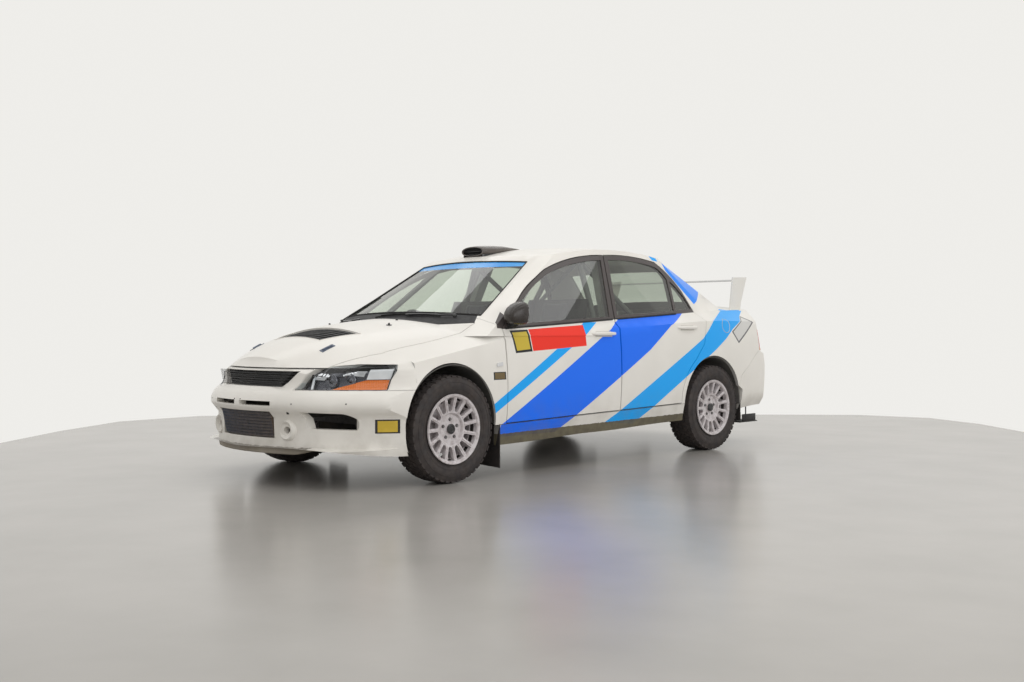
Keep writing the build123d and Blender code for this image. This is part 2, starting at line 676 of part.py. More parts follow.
# Knuckle: upright body with its kingpins, the spindle and the brake caliper.
DISC_R = 147
with BuildPart() as knuckle:
    with BuildSketch(Plane.XY.offset(KNUCKLE_LOW)):
        with Locations((KINGPIN_X, station(0))):
            RectangleRounded(44, 70, 15)
    extrude(amount=KNUCKLE_HIGH - KNUCKLE_LOW)
    with BuildSketch(Plane.XY.offset(ARM_LOW)):
        with Locations((KINGPIN_X, station(0))):
            Circle(PIN_R)
    extrude(amount=ARM_HIGH + ARM - ARM_LOW)
    with BuildSketch(Plane.YZ.offset(KINGPIN_X)):
        with Locations((station(0), HUB_Z)):
            Circle(SPINDLE_R)
    extrude(amount=SPINDLE_TIP - KINGPIN_X)
    with BuildSketch(Plane.YZ.offset(KINGPIN_X)):
        with Locations((station(122), HUB_Z)):
            RectangleRounded(64, 120, 20)
    extrude(amount=86)
    with BuildSketch(Plane.YZ.offset(KINGPIN_X)):
        with Locations((station(60), HUB_Z)):
            Rectangle(140, 40)
    extrude(amount=16)
    with BuildSketch(Plane.YZ.offset(WHEEL_X - 23)):
        with Locations((station(0), HUB_Z)):
            Circle(DISC_R + 5)
            Circle(SPINDLE_R, mode=Mode.SUBTRACT)
    extrude(amount=36, mode=Mode.SUBTRACT)
    with BuildSketch(Plane.YZ.offset(WHEEL_X - 23)):
        with Locations((station(0), HUB_Z)):
            Circle(82)
            Circle(SPINDLE_R, mode=Mode.SUBTRACT)
    extrude(amount=70, mode=Mode.SUBTRACT)
keep(biggest(knuckle.part), "knuckle_left")
keep(biggest(knuckle.part).mirror(Plane.YZ), "knuckle_right")

# Wheel: rim, spokes, hub and brake disc turned in one, with fifteen windows. Rows of offset and radius.
RIM = [
    (101, 204), (95, 207), (92, 197), (72, 194), (56, 180), (-40, 180), (-68, 192), (-92, 197), (-95, 207),
    (-101, 204), (-98, 191), (-72, 186), (-45, 173), (50, 173), (64, 184), (46, 98), (38, 80), (38, 76),
    (7, 76), (7, DISC_R), (-17, DISC_R), (-17, 70), (-5, 66), (-5, SPINDLE_R + FIT), (35, SPINDLE_R + FIT),
    (35, 0), (64, 0), (66, 28), (58, 31), (58, 86), (72, 95), (90, 186), (98, 192),
]
SPOKES = 15
WINDOW = [(105, -8), (105, 8), (112, 13), (122, 16), (183, 28), (186, 0), (183, -28), (122, -16), (112, -13)]
STUDS = 5
STUD_R = 57
with BuildPart() as wheel:
    with BuildSketch(Plane.XZ):
        with BuildLine():
            Polyline(*RIM, close=True)
        make_face()
    revolve(axis=Axis.X)
    with BuildSketch(Plane.YZ.offset(40)):
        with PolarLocations(0, SPOKES):
            Polygon(*WINDOW, align=None)
    extrude(amount=80, mode=Mode.SUBTRACT)
    with BuildSketch(Plane.YZ.offset(30)):
        with PolarLocations(STUD_R, STUDS, start_angle=18):
            Circle(11)
    extrude(amount=60, mode=Mode.SUBTRACT)

with BuildPart() as tyre:
    with BuildSketch(Plane.XZ):
        with BuildLine():
            Polyline((88, 198), (91, 208), (96, 214))
            ThreePointArc((96, 214), (102.5, 255), (98, 290))
            ThreePointArc((98, 290), (92, 307), (76, 316))
            Line((76, 316), (0, TYRE_R))
            mirror(about=Plane.YZ)
            Line((88, 198), (-88, 198))
        make_face()
    revolve(axis=Axis.X)

for end, axle in (("front", 0), ("rear", WHEELBASE)):
    for side, sign in (("left", 1), ("right", -1)):
        place = Pos(sign * WHEEL_X, station(axle), HUB_Z) * Rot(0, 0, 0 if sign > 0 else 180)
        keep(place * wheel.part, f"wheel_{end}_{side}")
        keep(place * tyre.part, f"tyre_{end}_{side}")

# Roll cage of round tube.
CAGE_FOOT = FLOOR_Z + SHEET
HOOP_AFT = station(1480)
LEG_AFT = station(540)
STAY_AFT = station(2560)
HOOP_TOP = (520, HOOP_AFT, 1385)
# Runs of the left side with their radii, and bars across with their half length, height and radius.
CAGE_RUNS = [
    (20, [(690, HOOP_AFT, CAGE_FOOT), (690, HOOP_AFT, 900), HOOP_TOP]),
    (19, [(690, LEG_AFT, CAGE_FOOT), (690, LEG_AFT, 860), (520, station(1120), 1350), HOOP_TOP]),
    (18, [HOOP_TOP, (520, STAY_AFT, 690)]),
    (17, [(690, LEG_AFT, 800), (690, HOOP_AFT, 430)]),
    (16, [(690, LEG_AFT, 420), (690, HOOP_AFT, 810)]),
]
CAGE_BARS = [(520, HOOP_AFT, 1385, 19), (520, station(1120), 1350, 18), (668, HOOP_AFT, 960, 17)]
with BuildPart() as cage:
    for radius, run in CAGE_RUNS:
        add(tube(run, radius))
    mirror(about=Plane.YZ)
    for half, y, z, radius in CAGE_BARS:
        add(tube([(-half, y, z), (half, y, z)], radius))
    add(tube([HOOP_TOP, (-690, HOOP_AFT, 440)], 15))
    add(block((-900, 0, 0), (900, 3000, CAGE_FOOT)), mode=Mode.SUBTRACT)
    with BuildSketch(Plane.YZ.offset(-FAR / 2)):
        with Locations((REAR_AXLE, HOUSE_Z)):
            Circle(HOUSE_R)
    extrude(amount=FAR, mode=Mode.SUBTRACT)
keep(cage.part, "roll_cage")

# Bucket seats on their brackets.
SEAT_X = 395
SEAT_PAN = [(1010, 400), (1012, 448), (1280, 408), (1392, 1110), (1440, 1110), (1340, 380), (1300, 360)]
SEAT_WING = [(1010, 400), (1012, 520), (1200, 560), (1262, 700), (1250, 830), (1335, 900), (1345, 1040),
             (1375, 1110), (1440, 1110), (1340, 380), (1300, 360)]
with BuildPart() as seat:
    add(side_prism(SEAT_PAN, SEAT_X - 210, SEAT_X + 210))
    add(side_prism(SEAT_WING, SEAT_X - 250, SEAT_X - 205))
    add(side_prism(SEAT_WING, SEAT_X + 205, SEAT_X + 250))
    for side in (-1, 1):
        x = SEAT_X + side * 190
        add(block((x - 6, 1030, CAGE_FOOT), (x + 6, 1300, 405)))
keep(both_sides(seat.part), "seats")

# Dashboard with its steering column and wheel.
DASH = [(397, 700), (397, 900), (470, 935), (640, 915), (690, 870), (690, 800), (560, 690)]
WHEEL_TILT = 25
with BuildPart() as dashboard:
    add(side_prism(DASH, -640, 640))
    fillet(dashboard.edges().filter_by(Axis.X), 12)
    column = Plane(origin=(-SEAT_X, station(640), 800), z_dir=(0, 1, 0.45))
    with BuildSketch(column):
        Circle(22)
    extrude(amount=190)
    with BuildSketch(column.offset(185)):
        Circle(45)
        Rectangle(320, 28)
        with Locations((0, -80)):
            Rectangle(28, 160)
    extrude(amount=12)
    with BuildSketch(Plane(origin=column.origin + column.z_dir * 191, x_dir=column.x_dir, z_dir=column.y_dir)):
        with Locations((165, 0)):
            Circle(14)
    revolve(axis=Axis(column.origin + column.z_dir * 191, column.z_dir))
keep(dashboard.part, "dashboard")

# Rear wing on the boot lid.
WING_END = [(3150, 1040), (3158, 1120), (3191, 1315), (3384, 1321), (3300, 1110), (3291, 1040)]
BLADE = [(3196, 1290), ((3290, 1287), (3376, 1300)), (3378, 1307), ((3290, 1300), (3196, 1290))]
WING_HALF = 652
with BuildPart() as wing_end:
    add(side_prism(WING_END, WING_HALF - 12, WING_HALF))
    add(boot_lid.part, mode=Mode.SUBTRACT)
with BuildPart() as wing:
    add(biggest(wing_end.part))
    add(side_prism(BLADE, 0, WING_HALF - 12))
    mirror(about=Plane.YZ)
keep(wing.part, "rear_wing")

# Roof scoop, open to the front.
SCOOP = [(985, 117, 1400, 1473), (1200, 110, 1430, 1500), (1437, 60, 1446, 1486)]
with BuildPart() as scoop:
    for wall in (0, 7):
        for aft, half, low, high in SCOOP:
            with BuildSketch(Plane.XZ.offset(-station(aft))):
                with Locations((0, (low + high) / 2)):
                    RectangleRounded(2 * (half - wall), high - low - 2 * wall, (high - low) / 2 - wall - 2)
        loft(mode=Mode.SUBTRACT if wall else Mode.ADD)
    add(roof_panel.part, mode=Mode.SUBTRACT)

# Door mirror, on the left side only: its housing and foot.
with BuildPart() as mirror_shell:
    with BuildSketch(Plane.XZ.offset(-station(452))):
        with Locations((856, 1000)):
            RectangleRounded(96, 92, 40)
    with BuildSketch(Plane.XZ.offset(-station(562))):
        with Locations((850, 1001)):
            RectangleRounded(140, 144, 56)
    loft()
    add(block((770, 500, 905), (860, 560, 945)))
    add(front_door.part, mode=Mode.SUBTRACT)
    add(front_glass, mode=Mode.SUBTRACT)
keep(biggest(mirror_shell.part), "mirror_left")

# Mud flaps.
with BuildPart() as flap:
    add(front_prism([(655, 70), (862, 60), (862, 330), (655, 330)], 368, 374))
    add(front_prism([(610, 185), (845, 200), (845, 420), (610, 420)], 3000, 3006))
    add(skin.part, mode=Mode.SUBTRACT)
keep(both_sides(flap.part), "mud_flaps")

# Radiator grille: a curved frame and its bars.
GRILLE_R = 925
with BuildPart() as grille:
    with BuildSketch(Plane.XZ.offset(-station(NOSE_AXIS))):
        with Locations((GRILLE_R - 7, 619)):
            Rectangle(14, 110)
    revolve(axis=Axis((0, station(NOSE_AXIS), 0), (0, 0, 1)))
    add(front_prism(GRILLE_HOLE, -1100, -560), mode=Mode.INTERSECT)
    for row in range(5):
        z = 584 + 17 * row
        half = 296 + (z - 574) * 1.02 - 12
        add(front_prism([(-half, z), (half, z), (half, z + 9), (-half, z + 9)], -1100, -560), mode=Mode.SUBTRACT)
keep(grille.part, "grille")

# Intercooler: a core with ribs across its face, between two tanks.
with BuildPart() as cooler:
    add(block((-300, -760, 270), (300, -705, 450)))
    for row in range(12):
        z = 276 + 14.4 * row
        add(block((-285, -768, z), (285, -760, z + 6)))
keep(cooler.part, "intercooler")

# Exhaust: pipe along the tunnel, muffler and tail pipe.
PIPE_R = 28
PIPE = [
    (0, station(150), 360),
    (0, station(300), 360),
    (0, station(420), 340),
    (0, station(2060), 340),
    (0, station(2225), 230),
    (-120, station(2400), 230),
    (-120, station(2900), 236),
    (-440, station(3060), 330),
]
with BuildPart() as exhaust:
    add(tube(PIPE, PIPE_R))
    with BuildSketch(Plane.XZ.offset(-station(3050))):
        with Locations((-445, 330)):
            RectangleRounded(230, 170, 60)
    extrude(amount=-345)
    add(block((-460, 3180, 400), (-430, 3220, BOOT_Z)))
    add(tube([(-480, station(3385), 268), (-480, station(3556), 246)], 32))
keep(exhaust.part, "exhaust")

# Sump guard under the engine.
GUARD = [(-690, 222), (-560, 185), (60, 185), (60, 193), (-558, 193), (-688, 231)]
with BuildPart() as guard:
    add(side_prism(GUARD, -330, 330))
keep(guard.part, "sump_guard")

# The pieces that are the same on both sides, the left one and its mirror image.
for name, part in (
    ("door_front", front_door.part),
    ("door_rear", rear_door.part),
    ("glass_front", front_glass),
    ("glass_rear", rear_glass),
):
    keep(part, f"{name}_left")
    keep(part.mirror(Plane.YZ), f"{name}_right")
keep(both_sides(biggest(post.part)), "door_posts")
keep(biggest(scoop.part), "roof_scoop")
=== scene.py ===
import json
import math

import bmesh
import bpy
from mathutils import Matrix, Vector
from mathutils.bvhtree import BVHTree

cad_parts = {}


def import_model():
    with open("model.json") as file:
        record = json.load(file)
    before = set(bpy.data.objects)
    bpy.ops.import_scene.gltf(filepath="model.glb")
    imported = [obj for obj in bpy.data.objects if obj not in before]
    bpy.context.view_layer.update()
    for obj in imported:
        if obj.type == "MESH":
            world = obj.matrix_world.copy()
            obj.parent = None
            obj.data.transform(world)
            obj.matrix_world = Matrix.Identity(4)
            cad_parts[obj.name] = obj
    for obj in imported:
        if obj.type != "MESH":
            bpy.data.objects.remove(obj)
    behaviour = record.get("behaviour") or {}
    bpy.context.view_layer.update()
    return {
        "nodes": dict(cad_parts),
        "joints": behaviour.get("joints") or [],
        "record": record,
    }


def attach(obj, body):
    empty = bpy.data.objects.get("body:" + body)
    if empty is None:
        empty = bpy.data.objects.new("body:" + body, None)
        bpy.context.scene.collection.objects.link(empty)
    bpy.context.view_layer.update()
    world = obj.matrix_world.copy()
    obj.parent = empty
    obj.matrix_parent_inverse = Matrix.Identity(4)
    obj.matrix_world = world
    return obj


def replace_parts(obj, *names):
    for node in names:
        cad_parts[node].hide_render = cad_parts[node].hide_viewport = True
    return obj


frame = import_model()
nodes = frame["nodes"]
joints = {joint["name"]: joint for joint in frame["joints"]}

# Places are in millimetres from here on: across to the car's left, back from the front axle, and up.
AXLE_Y = joints["wheel_front_left_spin"]["pos_m"][1]
ENDS = ("front", "rear")
SIDES = (("left", 1), ("right", -1))
TYRE_R = 318
RIM_R = 190
BELT_Z = 898
BELT_AFT = 420
BELT_SLOPE = 0.0597


def at(across, aft, up):
    """A place in the row frame."""
    return Vector((across / 1000, AXLE_Y + aft / 1000, up / 1000))


# Materials.
WHITE = (0.80, 0.78, 0.73, 1)
WHITE_SHADES = ((0.80, 0.775, 0.725, 1), (0.85, 0.825, 0.775, 1))
INNER_WHITE = (0.50, 0.49, 0.47, 1)
DEEP_BLUE = (0.002, 0.165, 1.0, 1)
PILLAR_BLUE = (0.001, 0.25, 1.0, 1)
SKY_BLUE = (0.001, 0.40, 1.0, 1)
FILM_SHADES = ((0.02, 0.30, 0.82, 1), (0.10, 0.42, 0.85, 1))
RED = (0.92, 0.03, 0.012, 1)
BLACK = (0.02, 0.02, 0.021, 1)
SOFT_BLACK = (0.075, 0.064, 0.062, 1)
YELLOW = (0.62, 0.47, 0.05, 1)
ORANGE = (0.80, 0.17, 0.001, 1)
LAMP_RED = (0.55, 0.02, 0.012, 1)
LAMP_AMBER = (0.6, 0.14, 0.02, 1)
FRAME_GREY = (0.12, 0.12, 0.13, 1)
FIELD_GREY = (0.66, 0.65, 0.63, 1)
LIP_SHADES = ((0.32, 0.30, 0.27, 1), (0.16, 0.14, 0.12, 1))
WHEEL_SHADES = ((0.66, 0.62, 0.63, 1), (0.30, 0.25, 0.24, 1))
TYRE_DUST = (0.085, 0.065, 0.055, 1)
DIRT = (0.20, 0.165, 0.105, 1)
MUD_SHADES = ((0.155, 0.135, 0.08, 1), (0.10, 0.085, 0.055, 1))


def feed(tree, socket, value):
    if isinstance(value, bpy.types.NodeSocket):
        tree.links.new(value, socket)
    else:
        socket.default_value = value


def add_node(tree, kind, inputs=(), **settings):
    new = tree.nodes.new(kind)
    for name, value in settings.items():
        setattr(new, name, value)
    for socket, value in zip(new.inputs, inputs):
        feed(tree, socket, value)
    return new


# A mix node has sockets for each kind of value: these are its share and two colours, and the mixed colour.
MIX_INPUTS = (0, 6, 7)
MIX_OUTPUT = 2


class Finish:
    """A material, with short ways to add nodes to it."""

    def __init__(self, name, colour, roughness=0.5, metallic=0.0, coat=0.0):
        self.material = bpy.data.materials.new(name)
        self.material.use_nodes = True
        self.tree = self.material.node_tree
        self.surface = self.tree.nodes["Principled BSDF"]
        self.output = self.tree.nodes["Material Output"]
        self.place = self.node("ShaderNodeTexCoord").outputs["Object"]
        self.colour(colour)
        self.set(**{"Roughness": roughness, "Metallic": metallic, "Coat Weight": coat, "Coat Roughness": 0.03})

    def set(self, **inputs):
        for name, value in inputs.items():
            feed(self.tree, self.surface.inputs[name], value)
        return self

    def colour(self, value):
        return self.set(**{"Base Color": value})

    def node(self, kind, inputs=(), **settings):
        return add_node(self.tree, kind, inputs, **settings)

    def math(self, operation, a, b=0.0):
        return self.node("ShaderNodeMath", (a, b), operation=operation).outputs[0]

    def along(self, direction):
        """How far a point lies along this direction from the frame's origin."""
        dot = self.node("ShaderNodeVectorMath", (self.place, direction), operation="DOT_PRODUCT")
        return dot.outputs["Value"]

    def waves(self, direction, count):
        """Even ridges across this direction."""
        return self.math("SINE", self.math("MULTIPLY", self.along(direction), count))

    def off_middle(self):
        """How far a point lies from the car's middle plane."""
        return self.math("ABSOLUTE", self.along((1, 0, 0)))

    def span(self, value, low, high, start=0.0, end=1.0):
        """start up to low, end from high on, and an even change between them."""
        return self.node("ShaderNodeMapRange", (value, low, high, start, end)).outputs[0]

    def noise(self, scale, detail, stretch=(1, 1, 1)):
        place = self.node("ShaderNodeMapping", (self.place,))
        place.inputs["Scale"].default_value = stretch
        texture = self.node("ShaderNodeTexNoise", (place.outputs[0],))
        texture.inputs["Scale"].default_value = scale
        texture.inputs["Detail"].default_value = detail
        return texture.outputs["Fac"]

    def patches(self, scale, detail, low, high, start=0.0, end=1.0):
        """Noise, spread from start to end."""
        return self.span(self.noise(scale, detail), low, high, start, end)

    def mottle(self, patches, a, b):
        """Patches of two colours."""
        return self.colour(self.mix(self.patches(*patches), a, b))

    def worn(self, *patches):
        """Patches of two roughnesses."""
        return self.set(Roughness=self.patches(*patches))

    def grain(self, scale, detail, depth, strength):
        return self.bump(self.noise(scale, detail), depth, strength)

    def blend(self, share, a, b):
        """One shader's output over another's."""
        return self.node("ShaderNodeMixShader", (share, a, b)).outputs[0]

    def use(self, shader):
        """Shows this shader's output in place of the usual surface."""
        feed(self.tree, self.output.inputs["Surface"], shader)

    def mix(self, share, a, b):
        mixed = self.node("ShaderNodeMix", data_type="RGBA")
        for index, value in zip(MIX_INPUTS, (share, a, b)):
            feed(self.tree, mixed.inputs[index], value)
        return mixed.outputs[MIX_OUTPUT]

    def cover(self, share, colour):
        """Another colour over this share of what the surface has."""
        return self.colour(self.mix(share, self.colour_so_far(), colour))

    def bump(self, height, depth, strength):
        bump = self.node("ShaderNodeBump")
        bump.inputs["Strength"].default_value = strength
        bump.inputs["Distance"].default_value = depth
        feed(self.tree, bump.inputs["Height"], height)
        return self.set(Normal=bump.outputs[0])

    def panel(self, corners, edge=0.0008):
        """1 inside this convex outline of (aft, up) corners, seen from the side."""
        nearest = None
        middle = sum((at(0, *corner) for corner in corners), Vector()) / len(corners)
        for first, second in zip(corners, corners[1:] + corners[:1]):
            start = at(0, *first)
            run = (at(0, *second) - start).normalized()
            inside = Vector((0, -run.z, run.y))
            if inside.dot(middle - start) < 0:
                inside = -inside
            depth = self.math("SUBTRACT", self.along(tuple(inside)), inside.dot(start))
            nearest = depth if nearest is None else self.math("MINIMUM", nearest, depth)
        return self.span(nearest, 0, edge)

    def colour_so_far(self):
        socket = self.surface.inputs["Base Color"]
        return socket.links[0].from_socket if socket.is_linked else tuple(socket.default_value)


def shade_of(colour, factor, offset=0.0):
    """A lighter or darker shade of a colour."""
    return tuple(part * factor + offset for part in colour[:3]) + (1,)


def dusty(finish, amount, low, high):
    """Road dirt that thins out upwards."""
    patchy = finish.patches(9.0, 6, 0.35, 0.75)
    height = finish.span(finish.along((0, 0, 1)), low, high, amount, 0)
    return finish.cover(finish.math("MULTIPLY", patchy, height), DIRT)


# Stripes and boards of the sides, each over those before it: a colour and corners of (aft, up).
LIVERY = (
    (DEEP_BLUE, ((372, 245), (381, 320), (1670, 1018), (2263, 1018), (2122, 926), (1868, 760), (889, 245))),
    (DEEP_BLUE, ((2112, 925), (2250, 1021), (2385, 1023))),
    (SKY_BLUE, ((300, 376), (1205, 869), (1345, 950), (1215, 950), (300, 439))),
    (SKY_BLUE, ((1373, 278), (2492, 835), (2492, 675), (1686, 250))),
    (SKY_BLUE, ((2486, 672), (2642, 750), (2798, 837), (2588, 912), (2486, 831))),
    (SKY_BLUE, ((2582, 907), (2652, 970), (2900, 905), (2790, 832))),
    (SKY_BLUE, ((2640, 964), (2990, 1062), (3240, 1062), (2892, 901))),
    (SKY_BLUE, ((3085, 994), (3150, 1050), (3250, 1050))),
    # The rear pillar and the roof's edge above it.
    (PILLAR_BLUE, ((2340, 1450), (2470, 1440), (2790, 1190), (2580, 1090), (2360, 1340))),
    (SKY_BLUE, ((2205, 1445), (2290, 1430), (2305, 1404), (2233, 1411))),
    # The framed panel ahead of the tail lamp.
    (FRAME_GREY, ((3120, 1006), (3250, 958), (2961, 794), (2880, 884))),
    (FIELD_GREY, ((3114, 998), (3222, 956), (2964, 810), (2900, 883))),
    # The board on the front door and the framed square ahead of it.
    (RED, ((665, 902), (1195, 931), (1196, 793), (683, 765))),
    (BLACK, ((500, 895), (659, 901), (678, 763), (528, 754))),
    (YELLOW, ((516, 882), (645, 889), (661, 778), (541, 769))),
    # The sail behind the mirror.
    (SOFT_BLACK, ((402, 908), (412, 942), (500, 1012), (500, 905))),
)
SKIRT_SLOPE = -0.0148
SKIRT_MUD = (372, 263)
WING_PLATE = 0.639
LIP_TOP = 0.238
LIP_HALF = 0.49
FILM_FOOT = 1.318


def white_paint(name, livery=False, black_above_belt=False):
    finish = Finish(name, WHITE, roughness=0.3, coat=0.15)
    finish.set(**{"Specular IOR Level": 0.3})
    colour = finish.mix(finish.patches(3.0, 2, 0.35, 0.65), *WHITE_SHADES)
    if livery:
        for shade, corners in LIVERY:
            colour = finish.mix(finish.panel(corners), colour, shade)
        # Only faces that look out of the car carry it.
        normal = finish.node("ShaderNodeTexCoord").outputs["Normal"]
        facing = finish.node("ShaderNodeSeparateXYZ", (normal,)).outputs["X"]
        outward = finish.math("MULTIPLY", finish.along((1, 0, 0)), facing)
        colour = finish.mix(finish.span(outward, 0.01, 0.02), INNER_WHITE, colour)
    if black_above_belt:
        slope = Vector((0, -BELT_SLOPE, 1)).normalized()
        belt = slope.dot(at(0, BELT_AFT, BELT_Z + 4))
        above = finish.math("SUBTRACT", finish.along(tuple(slope)), belt)
        colour = finish.mix(finish.span(above, 0, 0.001), colour, SOFT_BLACK)
    finish.colour(colour)
    finish.grain(420.0, 1, 0.00004, 0.3)
    return dusty(finish, 0.4, 0.16, 0.5)


def dirty_paint(name):
    """The skirts: paint and stripes over a ragged band of mud."""
    finish = white_paint(name, livery=True)
    slope = Vector((0, SKIRT_SLOPE, 1))
    ragged = finish.math("ADD", finish.along(tuple(slope)), finish.patches(40.0, 4, 0, 1, -0.005, 0.005))
    above = finish.math("SUBTRACT", ragged, slope.dot(at(0, *SKIRT_MUD)))
    share = finish.span(above, 0, 0.003, 0.96, 0)
    finish.cover(share, finish.mix(finish.patches(22.0, 5, 0.35, 0.7), *MUD_SHADES))
    return finish.set(Roughness=finish.span(share, 0, 1, 0.32, 0.85))


def plastic(name, colour, roughness, grain=900.0, dust=0.0):
    finish = Finish(name, colour, roughness)
    lighter = tuple(min(1, part) for part in shade_of(colour, 1.5, 0.01))
    finish.mottle((6.0, 4, 0.4, 0.8), colour, lighter)
    finish.worn(40.0, 2, 0.3, 0.7, roughness - 0.08, roughness + 0.1)
    finish.grain(grain, 2, 0.0002, 0.4)
    return dusty(finish, dust, 0.1, 0.8) if dust else finish


def metal(name, colour, roughness, grain, metallic=1.0):
    finish = Finish(name, colour, roughness, metallic)
    finish.mottle((grain, 5, 0.35, 0.75), colour, shade_of(colour, 0.6))
    finish.worn(grain * 3, 3, 0.3, 0.7, roughness - 0.1, roughness + 0.15)
    return finish.grain(grain * 8, 3, 0.0003, 0.3)


def weave(name, colour, roughness=0.85, threads=900.0):
    """Cloth: fine threads crossing, with soft variation."""
    finish = Finish(name, colour, roughness)
    finish.set(**{"Sheen Weight": 0.3})
    finish.mottle((12.0, 4, 0.35, 0.7), colour, shade_of(colour, 1.7, 0.01))
    across = finish.waves((1, 0.3, 0), threads)
    upward = finish.waves((0, 0.6, 1), threads)
    return finish.bump(finish.math("MULTIPLY", across, upward), 0.0004, 0.5)


def glass(name, tint, strip=False, index=1.85):
    """Thin clear glass that lamps shine through, with a coloured strip along its top if asked."""
    finish = Finish(name, tint, 0.05)
    clear = finish.node("ShaderNodeBsdfTransparent", (tint,)).outputs[0]
    gloss = finish.node("ShaderNodeBsdfGlossy", ((1, 1, 1, 1), 0.01)).outputs[0]
    fresnel = finish.node("ShaderNodeFresnel", (index,)).outputs[0]
    behind = finish.node("ShaderNodeNewGeometry").outputs["Backfacing"]
    mirrored = finish.math("MULTIPLY", fresnel, finish.math("SUBTRACT", 1, behind))
    result = finish.blend(mirrored, clear, gloss)
    if strip:
        fade = finish.span(finish.noise(2.5, 1, (1, 1, 3)), 0.4, 0.65)
        finish.colour(finish.mix(fade, *FILM_SHADES)).set(Roughness=0.2)
        share = finish.span(finish.along((0, 0, 1)), FILM_FOOT, FILM_FOOT + 0.002)
        result = finish.blend(share, result, finish.surface.outputs[0])
    finish.use(result)
    return finish


def rubber(name, colour, dust):
    finish = Finish(name, colour, 0.75)
    finish.cover(finish.patches(18.0, 5, 0.35, 0.75, 0, dust), TYRE_DUST)
    finish.worn(30.0, 3, 0.3, 0.7, 0.6, 0.9)
    return finish.grain(350.0, 3, 0.0004, 0.5)


def wing_paint():
    """White end plates and a dark blade between them."""
    finish = plastic("wing_finish", (0.03, 0.03, 0.033, 1), 0.35)
    finish.cover(finish.span(finish.off_middle(), WING_PLATE - 0.0005, WING_PLATE + 0.0005), WHITE)
    return finish.set(**{"Coat Weight": 0.6})


def lip_paint():
    """The front bumper: white paint, with a scuffed grey lip along its lower edge."""
    finish = white_paint("bumper_paint")
    ragged = finish.math("ADD", finish.along((0, 0, 1)), finish.patches(25.0, 5, 0, 1, -0.006, 0.006))
    low = finish.span(ragged, LIP_TOP - 0.004, LIP_TOP, 1, 0)
    middle = finish.span(finish.off_middle(), LIP_HALF - 0.005, LIP_HALF + 0.005, 1, 0)
    grey = finish.mix(finish.patches(60.0, 5, 0.4, 0.6), *LIP_SHADES)
    return finish.cover(finish.math("MULTIPLY", low, middle), grey)


def tail_lamp_lens():
    """Red above an amber strip, with fine ribs."""
    finish = Finish("tail_lens", (0.45, 0.01, 0.008, 1), 0.12, coat=1.0)
    height = finish.along((0, 0, 1))
    finish.cover(finish.span(height, 0.805, 0.808), LAMP_RED)
    finish.cover(finish.span(height, 0.762, 0.765, 1, 0), LAMP_AMBER)
    return finish.bump(finish.waves((0, 0, 1), 900.0), 0.0006, 0.4)


def core_metal():
    finish = metal("core_metal", (0.26, 0.20, 0.155, 1), 0.5, 30.0, 0.55)
    return finish.bump(finish.waves((0, 0, 1), 1400.0), 0.0012, 0.7)


def wheel_paint():
    finish = Finish("wheel_finish", (0.62, 0.58, 0.59, 1), 0.42, coat=0.2)
    finish.mottle((38.0, 5, 0.42, 0.78, 0, 0.75), *WHEEL_SHADES)
    return finish.grain(500.0, 2, 0.0001, 0.3)


def lamp_amber():
    finish = Finish("lamp_orange", ORANGE, 0.25, coat=0.1)
    return finish.bump(finish.waves((0.7, 0.7, 0), 500.0), 0.001, 0.5)


def gloss_paint():
    finish = Finish("gloss_black", (0.012, 0.012, 0.013, 1), 0.2, coat=0.5)
    return finish.grain(300.0, 2, 0.00005, 0.3)


body_white = white_paint("body_white")
side_white = white_paint("side_white", livery=True)
door_white = white_paint("door_white", livery=True, black_above_belt=True)
bumper_white = lip_paint()
wheel_white = wheel_paint()
black_plastic = plastic("black_grain", BLACK, 0.6, dust=0.12)
liner_black = plastic("liner_black", (0.12, 0.115, 0.11, 1), 0.85, 200.0, dust=0.35)
gloss_black = gloss_paint()
composite = plastic("composite_black", (0.085, 0.072, 0.064, 1), 0.2, 700.0)
red_lens = tail_lamp_lens()
cast_metal = metal("cast_metal", (0.22, 0.21, 0.21, 1), 0.55, 40.0, 0.7)
cooler_metal = core_metal()
# Darker white: the seam round the filler cap, and painted shade in the cups behind the door handles.
seam_and_painted_shade_white = plastic("seam_and_painted_shade_white", (0.50, 0.48, 0.44, 1), 0.5, 300.0)
mirror_paint = plastic("mirror_paint", (0.03, 0.024, 0.02, 1), 0.28, 500.0)
lamp_bowl = metal("lamp_bowl", (0.11, 0.11, 0.125, 1), 0.25, 20.0, 0.8)
clear_lens = plastic("clear_lens", (0.68, 0.68, 0.69, 1), 0.12, 200.0)
scuffed_lip = plastic("scuffed_lip", (0.30, 0.27, 0.23, 1), 0.7, 120.0, dust=0.5)
latch_metal = metal("latch_metal", (0.16, 0.19, 0.25, 1), 0.35, 60.0, 0.6)
plate_yellow = plastic("plate_yellow", (0.60, 0.42, 0.04, 1), 0.4, 200.0)
plate_brown = plastic("plate_brown", (0.16, 0.11, 0.04, 1), 0.4, 200.0)
chrome = metal("bright_metal", (0.75, 0.75, 0.76, 1), 0.12, 20.0)
dark_chrome = metal("dark_chrome", (0.20, 0.20, 0.22, 1), 0.22, 20.0)
lamp_orange = lamp_amber()
tyre_rubber = rubber("tyre_rubber", (0.035, 0.03, 0.03, 1), 0.5)
seal_rubber = rubber("seal_rubber", (0.02, 0.02, 0.02, 1), 0.1)
seat_cloth = weave("seat_cloth", (0.03, 0.032, 0.045, 1))
belt_web = weave("belt_web", (0.05, 0.055, 0.075, 1), 0.7, 2500.0)
card_black = plastic("card_black", (0.05, 0.05, 0.052, 1), 0.6, 400.0)

